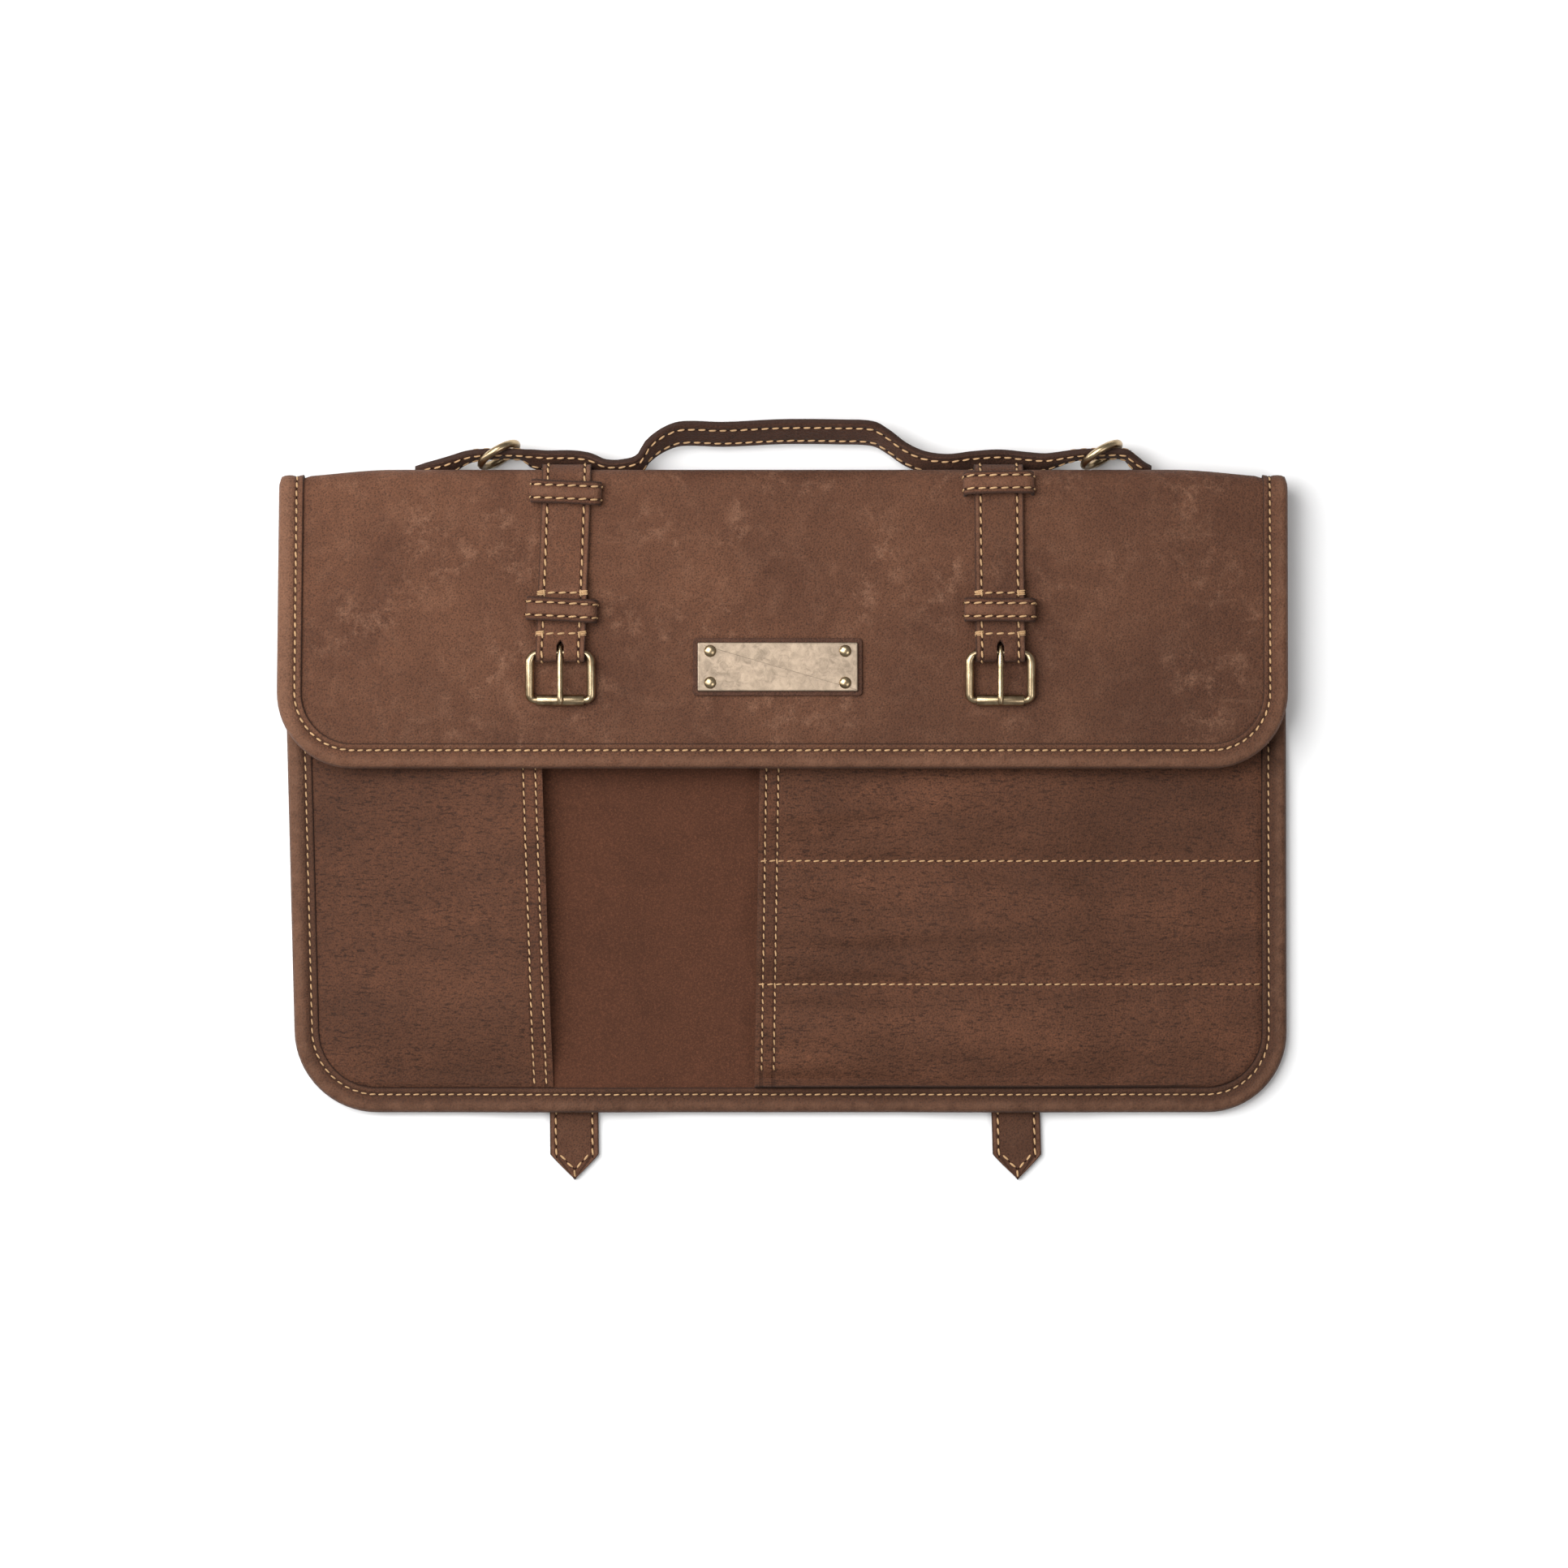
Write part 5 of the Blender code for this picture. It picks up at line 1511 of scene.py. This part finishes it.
def build_plate():
    """Leather patch, metal plate with bevelled edges and four dome rivets."""
    patch_z = FLAP_Z + GAP + PATCH_THICK / 2
    plate_z = FLAP_Z + GAP + PATCH_THICK + GAP + PLATE_THICK / 2
    new_start()
    bpy.ops.mesh.primitive_cube_add(size=1.0, location=(PLATE_X, PLATE_Y, patch_z))
    thing = bpy.context.object
    thing.scale = (PLATE_LENGTH + 2 * PATCH_MARGIN, PLATE_HEIGHT + 2 * PATCH_MARGIN, PATCH_THICK)
    bpy.ops.object.transform_apply(location=True, rotation=True, scale=True)
    pick(thing, "EDGE", lambda e: abs(e.verts[0].co.z - e.verts[1].co.z) > PATCH_THICK / 2)
    bpy.ops.mesh.bevel(offset=0.0016, segments=4, affect="EDGES")
    pick(thing, "EDGE", lambda e: min(v.co.z for v in e.verts) > patch_z)
    bpy.ops.mesh.bevel(offset=0.0004, segments=3, affect="EDGES")
    dark = leather_set()["dark patch"]
    patch = settle(thing, "plate_patch_leather", dark, "roll", ["plate_patch"])
    new_start()
    bpy.ops.mesh.primitive_cube_add(size=1.0, location=(PLATE_X, PLATE_Y, plate_z))
    thing = bpy.context.object
    thing.scale = (PLATE_LENGTH, PLATE_HEIGHT, PLATE_THICK)
    bpy.ops.object.transform_apply(location=True, rotation=True, scale=True)
    pick(thing, "EDGE", lambda e: abs(e.verts[0].co.z - e.verts[1].co.z) > PLATE_THICK / 2)
    bpy.ops.mesh.bevel(offset=0.0005, segments=2, affect="EDGES")
    pick(thing, "FACE", lambda f: f.normal.z > 0.9)
    bpy.ops.mesh.inset(thickness=0.0007)

    def on_rim(edge):
        high = min(v.co.z for v in edge.verts) > plate_z
        return high and len(edge.link_faces) == 2 and any(abs(f.normal.z) < 0.5 for f in edge.link_faces)

    pick(thing, "EDGE", on_rim)
    bpy.ops.mesh.bevel(offset=0.00045, segments=3, affect="EDGES")
    settle(thing, "plate_metal", metal_set()["name plate metal"], "roll", ["name_plate"], 30)
    build_rivets(plate_z + PLATE_THICK / 2 + GAP)


def build_rivets(top):
    """One dome with a rim, copied to the plate's corners."""
    new_start()
    bpy.ops.mesh.primitive_uv_sphere_add(segments=24, ring_count=14, radius=RIVET_RADIUS)
    model = bpy.context.object
    pick(model, "FACE", lambda f: True)
    foot = RIVET_RADIUS * 0.12
    bpy.ops.mesh.bisect(plane_co=(0, 0, foot), plane_no=(0, 0, 1), use_fill=True, clear_inner=True)
    bpy.ops.mesh.select_all(action="SELECT")
    squash = RIVET_RISE / (RIVET_RADIUS - foot)
    bpy.ops.transform.resize(value=(1.0, 1.0, squash), center_override=(0, 0, foot))
    bpy.ops.object.mode_set(mode="OBJECT")
    mesh = model.data
    bpy.data.objects.remove(model)
    reach_x = PLATE_LENGTH / 2 - RIVET_INSET_X
    reach_y = PLATE_HEIGHT / 2 - RIVET_INSET_Y
    places = ((-1, 1), (1, 1), (-1, -1), (1, -1))
    for number, (to_x, to_y) in enumerate(places, 1):
        copy = mesh.copy()
        z = top - foot
        copy.transform(Matrix.Translation((PLATE_X + to_x * reach_x, PLATE_Y + to_y * reach_y, z)))
        thing = bpy.data.objects.new(f"dome_rivet_{number}", copy)
        bpy.context.scene.collection.objects.link(thing)
        new_start()
        bpy.context.view_layer.objects.active = thing
        thing.select_set(True)
        metal = metal_set()["roller brass"]
        settle(thing, f"dome_rivet_{number}", metal, "roll", [f"rivet_{number}"])


def build_ring(side):
    """A wire ring with the fine gap where its ends meet, threaded on the handle strip."""
    metal_sizes = bpy.context.scene.knife_roll_metal
    strip_middle, up = ring_place(side)
    out = Vector((0.0, up.z, -up.y))
    yaw = radians(RING_YAW)
    across = Vector((1.0, 0.0, 0.0)) * sin(yaw) + out * cos(yaw)
    facing = across.cross(up)
    new_start()
    bpy.ops.mesh.primitive_torus_add(
        major_segments=metal_sizes.ring_steps,
        minor_segments=metal_sizes.wire_sides,
        major_radius=RING_RADIUS,
        minor_radius=RING_WIRE,
    )
    thing = bpy.context.object
    pick(thing, "FACE", lambda f: f.calc_center_median().x > 0 and abs(f.calc_center_median().y) < 0.0004)
    bpy.ops.mesh.extrude_region_shrink_fatten(TRANSFORM_OT_shrink_fatten={"value": -0.00018})
    bpy.ops.object.mode_set(mode="OBJECT")
    turn = Matrix((across, up, facing)).transposed().to_4x4()
    thing.data.transform(Matrix.Translation(strip_middle) @ turn)
    metal = metal_set()["antique brass"]
    settle(thing, f"brass_ring_{side}", metal, "roll", [f"ring_{side}"], 50)


def ring_place(side):
    """The strip's middle and its way up where a ring is threaded on it."""
    lean = radians(RING_LEAN)
    x = HANDLE_LENGTH * (RING_SHARE[side] - 0.5)
    z = RING_RADIUS + RING_WIRE + GAP
    support = hypot(SPINE_REACH_LOW * cos(lean), SPINE_RISE_LOW * sin(lean))
    below = SPINE_RISE_LOW * sin(lean) / support
    stand = GAP + cad_sag(x) * below * sin(lean) + HANDLE_THICK / 2 + RING_STAND
    line = BASE_SPINE_Y * cos(lean) - EQUATOR_Z * sin(lean) + support + stand
    return Vector((x, (line + z * sin(lean)) / cos(lean), z)), Vector((0.0, sin(lean), cos(lean)))


def cad_sag(x):
    away = min(abs(x - middle) for middle in STRAP_MIDDLES)
    return STRAP_THICK * min(1.0, max(0.0, (away - SAG_FLAT) / SAG_RUN))


# Stitching


def model_stitch():
    """One stitch lying along X on the XY plane, its ends dipping in."""
    new_start()
    bpy.ops.mesh.primitive_uv_sphere_add(segments=8, ring_count=6, radius=0.5)
    thing = bpy.context.object
    thing.rotation_euler = (0.0, pi / 2, 0.0)
    bpy.ops.object.transform_apply(location=True, rotation=True, scale=True)
    pick(thing, "VERT", lambda v: abs(v.co.x) < 0.3)
    bpy.ops.transform.resize(value=(1.25, 1.0, 1.0), center_override=(0, 0, 0))
    bpy.ops.object.mode_set(mode="OBJECT")
    corners = [v.co.copy() for v in thing.data.vertices]
    faces = [tuple(p.vertices) for p in thing.data.polygons]
    bpy.data.objects.remove(thing)
    for co in corners:
        co.z -= 1.1 * max(0.0, abs(co.x) - 0.25) ** 2 * 2.0
    return corners, faces


def walk(path, closed, pitch):
    """Points along a path at an even pitch, with their direction and outward normal."""
    points = list(path) + ([path[0]] if closed else [])
    lengths = [(points[i + 1][0] - points[i][0]).length for i in range(len(points) - 1)]
    total = sum(lengths)
    count = max(1, round(total / pitch))
    step = total / count
    places = []
    i = 0
    passed = 0.0
    for n in range(count):
        target = (n + 0.5) * step
        while i < len(lengths) - 1 and passed + lengths[i] < target:
            passed += lengths[i]
            i += 1
        share = (target - passed) / max(1e-9, lengths[i])
        a, b = points[i], points[i + 1]
        along = (b[0] - a[0]).normalized()
        places.append((a[0].lerp(b[0], share), along, a[1].lerp(b[1], share).normalized()))
    return places, step


def sew(name, rows, pitch=None, width=None, holes=True):
    """Threads, with dark discs of painted shade in the holes the needle made, along one or more rows of
    points and normals.
    """
    sizes = bpy.context.scene.knife_roll_stitches
    pitch = pitch or sizes.pitch
    width = width or sizes.width
    corners, faces = model_stitch()
    coordinates = []
    polygons = []
    kinds = []
    for path, closed in rows:
        places, step = walk(path, closed, pitch)
        for place, along, normal in places:
            wander = noise.noise(place * 900.0)
            side = normal.cross(along).normalized()
            turn = sizes.slant * (1.0 + 0.8 * wander)
            forward = along * cos(turn) + side * sin(turn)
            aside = side * cos(turn) - along * sin(turn)
            length = step * sizes.share * (1.0 + 0.10 * wander)
            middle = place + normal * (width * 0.16) + side * (0.00012 * noise.noise(place * 500.0))
            start = len(coordinates)
            for co in corners:
                offset = forward * (co.x * length) + aside * (co.y * width) + normal * (co.z * width * 0.95)
                coordinates.append(middle + offset)
            polygons += [tuple(start + i for i in face) for face in faces]
            kinds += [0] * len(faces)
            if not holes:
                continue
            # A dark disc of painted shade in the hole beside each stitch
            start = len(coordinates)
            hole = place + along * (step * 0.5) + normal * 0.00004
            coordinates.append(hole + normal * 0.00003)
            for k in range(6):
                a = 2 * pi * k / 6
                coordinates.append(hole + along * (cos(a) * width * 0.66) + side * (sin(a) * width * 0.36))
            polygons += [(start, start + 1 + k, start + 1 + (k + 1) % 6) for k in range(6)]
            polygons.append(tuple(start + 6 - k for k in range(6)))
            kinds += [1] * 7
    mesh = bpy.data.meshes.new(name)
    mesh.from_pydata(coordinates, [], polygons)
    mesh.polygons.foreach_set("material_index", kinds)
    mesh.polygons.foreach_set("use_smooth", [True] * len(polygons))
    if "thread" not in FINISHES:
        FINISHES["thread"] = thread_material()
        FINISHES["hole"] = hole_material()
    return finish_piece(name, mesh, [FINISHES["thread"], FINISHES["hole"]])


def band_row(outer):
    path = []
    for place in band_loop():
        x, station, _ = place
        if outer:
            depth = -GAP - band_height(BAND_STITCH, station["low"] > 0.5)
        else:
            lift = band_lap(x, station, BAND_STITCH)
            depth = SHEET_STACK + GAP + band_height(BAND_STITCH, station["high"] > 0.5) + lift
        sign = -1.0 if outer else 1.0
        normal = Vector((0.0, station["ny"] * sign, station["nz"] * sign))
        path.append((band_point(place, BAND_STITCH, depth), normal))
    return path, True


def surface_row(points, height):
    """A row over a pocket: each point with the normal of the surface below it."""
    path = []
    d = 0.0008
    for x, y in points:
        here = height(x, y)
        slope_x = (height(x + d, y) - height(x - d, y)) / (2 * d)
        slope_y = (height(x, y + d) - height(x, y - d)) / (2 * d)
        normal = slope_x.cross(slope_y).normalized()
        path.append((here, normal if normal.z > 0 else -normal))
    return path, False


def strap_rows(side, outer=True):
    """The two rows along a strap, on its outer or its inner face, coming together at its point."""
    path = strap_path(side)
    rows = []
    for hand in (-1.0, 1.0):
        row = []
        for i, place in enumerate(path):
            a, b = path[max(0, i - 1)], path[min(len(path) - 1, i + 1)]
            along = Vector((0.0, b["y"] - a["y"], b["z"] - a["z"])).normalized()
            out = Vector((1.0, 0.0, 0.0)).cross(along)
            if not outer:
                out = -out
            inset = STRAP_STITCH + (0.0016 if place["width"] < 0.98 else 0.0)
            reach = max(0.0, STRAP_WIDTH / 2 * place["width"] - inset)
            x = place["shift"] + hand * reach
            point = Vector((x, place["y"], place["z"])) + out * (STRAP_THICK / 2)
            row.append((point, out, place))
        rows.append(row)
    return rows


def build_stitching():
    sizes = bpy.context.scene.knife_roll_stitches
    sew("thread_band_outside", [band_row(True)])
    sew("thread_band_inside", [band_row(False)], sizes.pitch, sizes.width * 0.80)
    rows = []
    for side in SIDES:
        for inset in MOUTH_STITCHES:
            away = -inset if side == "left" else inset
            ys = steps(POCKET_LOW + 0.0008, POCKET_TOP_Y, 0.002)
            points = [(mouth_x(side, y) + away, y) for y in ys]
            rows.append(surface_row(points, lambda x, y, s=side: pocket_top(s, x, y)))
    for seam in SLEEVE_SEAMS:
        start = mouth_x("right", seam) + 0.0004
        end = edge_x("right", base(seam)) - BINDING_WIDTH - GAP
        points = [(x, seam) for x in steps(start, end, 0.003)]
        rows.append(surface_row(points, lambda x, y: pocket_top("right", x, y)))
    sew("thread_pockets", rows, sizes.pitch, sizes.width * 0.80)
    for side in SIDES:
        rows = []
        for row in strap_rows(side):
            shown = [(p, n) for p, n, place in row if not place.get("turned")]
            rows.append((shown, False))
        for row in strap_rows(side, outer=False):
            below = [spot for spot in row if spot[2]["under"] > 0 and spot[2]["y"] < BASE_BOTTOM_Y + 0.004]
            rows.append(([(point, normal) for point, normal, _ in below], False))
        sew(f"thread_strap_{side}", rows, sizes.strap_pitch)
    rows = []
    for name in KEEPERS:
        middle, across, along, out = keeper_frame(name)
        arch = keeper_arch(name)
        for hand in (-1.0, 1.0):
            shift = hand * (KEEPER_LENGTH / 2 - KEEPER_STITCH)
            row = []
            for i, (x, z) in enumerate(arch):
                (xa, za), (xb, zb) = arch[max(0, i - 1)], arch[min(len(arch) - 1, i + 1)]
                normal = (across * (zb - za) - out * (xb - xa)).normalized()
                if normal.dot(out) < -0.01 or (abs(normal.dot(out)) <= 0.01 and normal.dot(across) * x < 0):
                    normal = -normal
                rolled = z - keeper_roll_over(shift / KEEPER_LENGTH, z)
                point = middle + across * x + along * shift + out * rolled + normal * (KEEPER_THICK / 2)
                row.append((point, normal))
            rows.append((row, False))
    sew("thread_keepers", rows, KEEPER_PITCH)
    rows = []
    for side in SIDES:
        for y in TACK_ROWS:
            z = LAYER_HIGH + STRAP_THICK / 2
            up = Vector((0.0, 0.0, 1.0))
            half = STRAP_WIDTH / 2 - 0.0032
            middle = STRAP_X[side] + strap_shift(side, y)
            row = [(Vector((middle + x, y, z)), up) for x in steps(-half, half, 0.002)]
            rows.append((row, False))
    sew("thread_crosses", rows, KEEPER_PITCH, sizes.width * 1.1)
    rows = []
    for side in SIDES:
        for y in TACK_ROWS:
            for hand in (-1.0, 1.0):
                x = STRAP_X[side] + strap_shift(side, y) + hand * (STRAP_WIDTH / 2 - 0.0014)
                z = LAYER_HIGH + STRAP_THICK / 2
                for n in (-1, 0, 1):
                    yy = y + n * 0.00062
                    start = Vector((x - TACK_LENGTH / 2, yy, z))
                    end = Vector((x + TACK_LENGTH / 2, yy + 0.0002 * n, z))
                    rows.append(([(start, up), (end, up)], False))
    sew("thread_tacks", rows, TACK_LENGTH, sizes.width * 0.85, holes=False)
    rows = []
    for side_of_strip in (1.0, -1.0):
        for hand in (-1.0, 1.0):
            row = []
            for middle, up, face, width, _ in handle_places()[2:-2]:
                reach = max(0.001, width / 2 - HANDLE_STITCH * min(1.0, width / GRIP_WIDTH))
                out = face * side_of_strip
                row.append((middle + up * (hand * reach) + out * (HANDLE_THICK / 2 * 1.04), out))
            rows.append((row, False))
    sew("thread_handle", rows, sizes.strap_pitch)


# Stage


def soft_light(name, place, target, size, power, colour=(1.0, 1.0, 1.0)):
    bpy.ops.object.light_add(type="AREA", location=place)
    lamp = bpy.context.object
    lamp.name = name
    lamp.data.shape = "RECTANGLE"
    lamp.data.size, lamp.data.size_y = size
    lamp.data.energy = power
    lamp.data.color = colour
    lamp.rotation_euler = (Vector(target) - Vector(place)).to_track_quat("-Z", "Y").to_euler()
    return lamp


def build_stage():
    """Pale floor, soft lights and the camera straight above."""
    colours = bpy.context.scene.knife_roll_colours
    new_start()
    bpy.ops.mesh.primitive_plane_add(size=14.0, location=(0.0, 0.0, -0.0006))
    floor = bpy.context.object
    floor.name = "studio_floor"
    s = Shader("studio floor")
    grain = s.noise(0.05, 3.0, 0.5)
    colour = s.mix(grain, tuple(colours.floor), shade(tuple(colours.floor), 1.01))
    roughness = s.ramp(grain, 0.3, 0.7, 0.85, 0.9)
    floor.data.materials.append(s.done(colour, roughness, s.bump(grain, 0.0001, 0.1)))
    soft_light("key", (-0.72, 0.42, 1.55), (-0.05, 0.0, 0.0), (1.4, 1.4), 41.0)
    soft_light("side", (-1.7, 0.2, 0.75), (-0.1, 0.0, 0.0), (0.5, 1.4), 9.0)
    soft_light("fill", (1.3, -0.9, 2.0), (0.0, 0.0, 0.0), (0.9, 0.9), 12.0)
    world = bpy.data.worlds.new("studio")
    world.use_nodes = True
    world.node_tree.nodes["Background"].inputs[0].default_value = (1.0, 1.0, 1.0, 1.0)
    world.node_tree.nodes["Background"].inputs[1].default_value = 0.24
    bpy.context.scene.world = world
    bpy.context.scene.view_settings.view_transform = "Standard"
    height = 3.0
    bpy.ops.object.camera_add(location=(0.0003, 0.0067, height + 0.0147), rotation=(0.0, 0.0, 0.0))
    camera = bpy.context.object
    camera.data.sensor_width = 36.0
    camera.data.lens = 36.0 * height / 0.644
    bpy.context.scene.camera = camera


# Operators


class KNIFE_ROLL_OT_stage(bpy.types.Operator):
    """Floor, lights and camera"""

    bl_idname = "knife_roll.stage"
    bl_label = "Stage"

    def execute(self, context):
        build_stage()
        return {"FINISHED"}


class KNIFE_ROLL_OT_sheet(bpy.types.Operator):
    """Leather outside and suede lining, folded over at the spine"""

    bl_idname = "knife_roll.sheet"
    bl_label = "Leather sheet"

    def execute(self, context):
        build_leather_sheet()
        return {"FINISHED"}


class KNIFE_ROLL_OT_binding(bpy.types.Operator):
    """Folded band round the sheet's edge"""

    bl_idname = "knife_roll.binding"
    bl_label = "Edge binding"

    def execute(self, context):
        build_binding()
        return {"FINISHED"}


class KNIFE_ROLL_OT_pockets(bpy.types.Operator):
    """Wide pocket at the left and row of sleeves at the right"""

    bl_idname = "knife_roll.pockets"
    bl_label = "Pockets"

    def execute(self, context):
        build_pockets()
        return {"FINISHED"}


class KNIFE_ROLL_OT_straps(bpy.types.Operator):
    """Two straps, looped round their buckles"""

    bl_idname = "knife_roll.straps"
    bl_label = "Straps"

    def execute(self, context):
        for side in SIDES:
            build_strap(side)
        return {"FINISHED"}


class KNIFE_ROLL_OT_keepers(bpy.types.Operator):
    """Four loops over the straps"""

    bl_idname = "knife_roll.keepers"
    bl_label = "Keepers"

    def execute(self, context):
        for name in KEEPERS:
            build_keeper(name)
        return {"FINISHED"}


class KNIFE_ROLL_OT_buckles(bpy.types.Operator):
    """Frame, prong and roller of both buckles"""

    bl_idname = "knife_roll.buckles"
    bl_label = "Buckles"

    def execute(self, context):
        for side in SIDES:
            build_buckle_frame(side)
            build_prong(side)
            build_roller(side)
        return {"FINISHED"}


class KNIFE_ROLL_OT_plate(bpy.types.Operator):
    """Bare metal plate on its leather patch, with four rivets"""

    bl_idname = "knife_roll.plate"
    bl_label = "Name plate"

    def execute(self, context):
        build_plate()
        return {"FINISHED"}


class KNIFE_ROLL_OT_handle(bpy.types.Operator):
    """Carrying strip along the spine, raised at the grip"""

    bl_idname = "knife_roll.handle"
    bl_label = "Handle"

    def execute(self, context):
        build_handle()
        return {"FINISHED"}


class KNIFE_ROLL_OT_rings(bpy.types.Operator):
    """Wire rings at both ends of the handle"""

    bl_idname = "knife_roll.rings"
    bl_label = "Rings"

    def execute(self, context):
        for side in SIDES:
            build_ring(side)
        return {"FINISHED"}


class KNIFE_ROLL_OT_stitching(bpy.types.Operator):
    """Thread of every seam, with painted shade in the holes the needle made"""

    bl_idname = "knife_roll.stitching"
    bl_label = "Stitching"

    def execute(self, context):
        build_stitching()
        return {"FINISHED"}


OPERATORS = (
    KNIFE_ROLL_OT_stage,
    KNIFE_ROLL_OT_sheet,
    KNIFE_ROLL_OT_binding,
    KNIFE_ROLL_OT_pockets,
    KNIFE_ROLL_OT_straps,
    KNIFE_ROLL_OT_keepers,
    KNIFE_ROLL_OT_buckles,
    KNIFE_ROLL_OT_plate,
    KNIFE_ROLL_OT_handle,
    KNIFE_ROLL_OT_rings,
    KNIFE_ROLL_OT_stitching,
)
SETTINGS = {
    "knife_roll_leather": LeatherSizes,
    "knife_roll_stitches": StitchSizes,
    "knife_roll_metal": MetalSizes,
    "knife_roll_colours": RollColours,
}


class KNIFE_ROLL_PT_panel(bpy.types.Panel):
    """Sizes, colours and one button for each group of pieces"""

    bl_idname = "KNIFE_ROLL_PT_panel"
    bl_label = "Knife Roll"
    bl_space_type = "VIEW_3D"
    bl_region_type = "UI"
    bl_category = "Knife Roll"

    def draw(self, context):
        for setting, group in SETTINGS.items():
            box = self.layout.box()
            values = getattr(context.scene, setting)
            for field in group.__annotations__:
                box.prop(values, field)
        for operator in OPERATORS:
            self.layout.operator(operator.bl_idname)


def register():
    for group in (*SETTINGS.values(), *OPERATORS, KNIFE_ROLL_PT_panel):
        bpy.utils.register_class(group)
    for setting, group in SETTINGS.items():
        setattr(bpy.types.Scene, setting, PointerProperty(type=group))


def unregister():
    for setting in SETTINGS:
        delattr(bpy.types.Scene, setting)
    for group in reversed((*SETTINGS.values(), *OPERATORS, KNIFE_ROLL_PT_panel)):
        bpy.utils.unregister_class(group)


def main():
    register()
    bpy.ops.knife_roll.stage()
    bpy.ops.knife_roll.sheet()
    bpy.ops.knife_roll.binding()
    bpy.ops.knife_roll.pockets()
    bpy.ops.knife_roll.straps()
    bpy.ops.knife_roll.keepers()
    bpy.ops.knife_roll.buckles()
    bpy.ops.knife_roll.plate()
    bpy.ops.knife_roll.handle()
    bpy.ops.knife_roll.rings()
    bpy.ops.knife_roll.stitching()


if __name__ == "__main__":
    main()
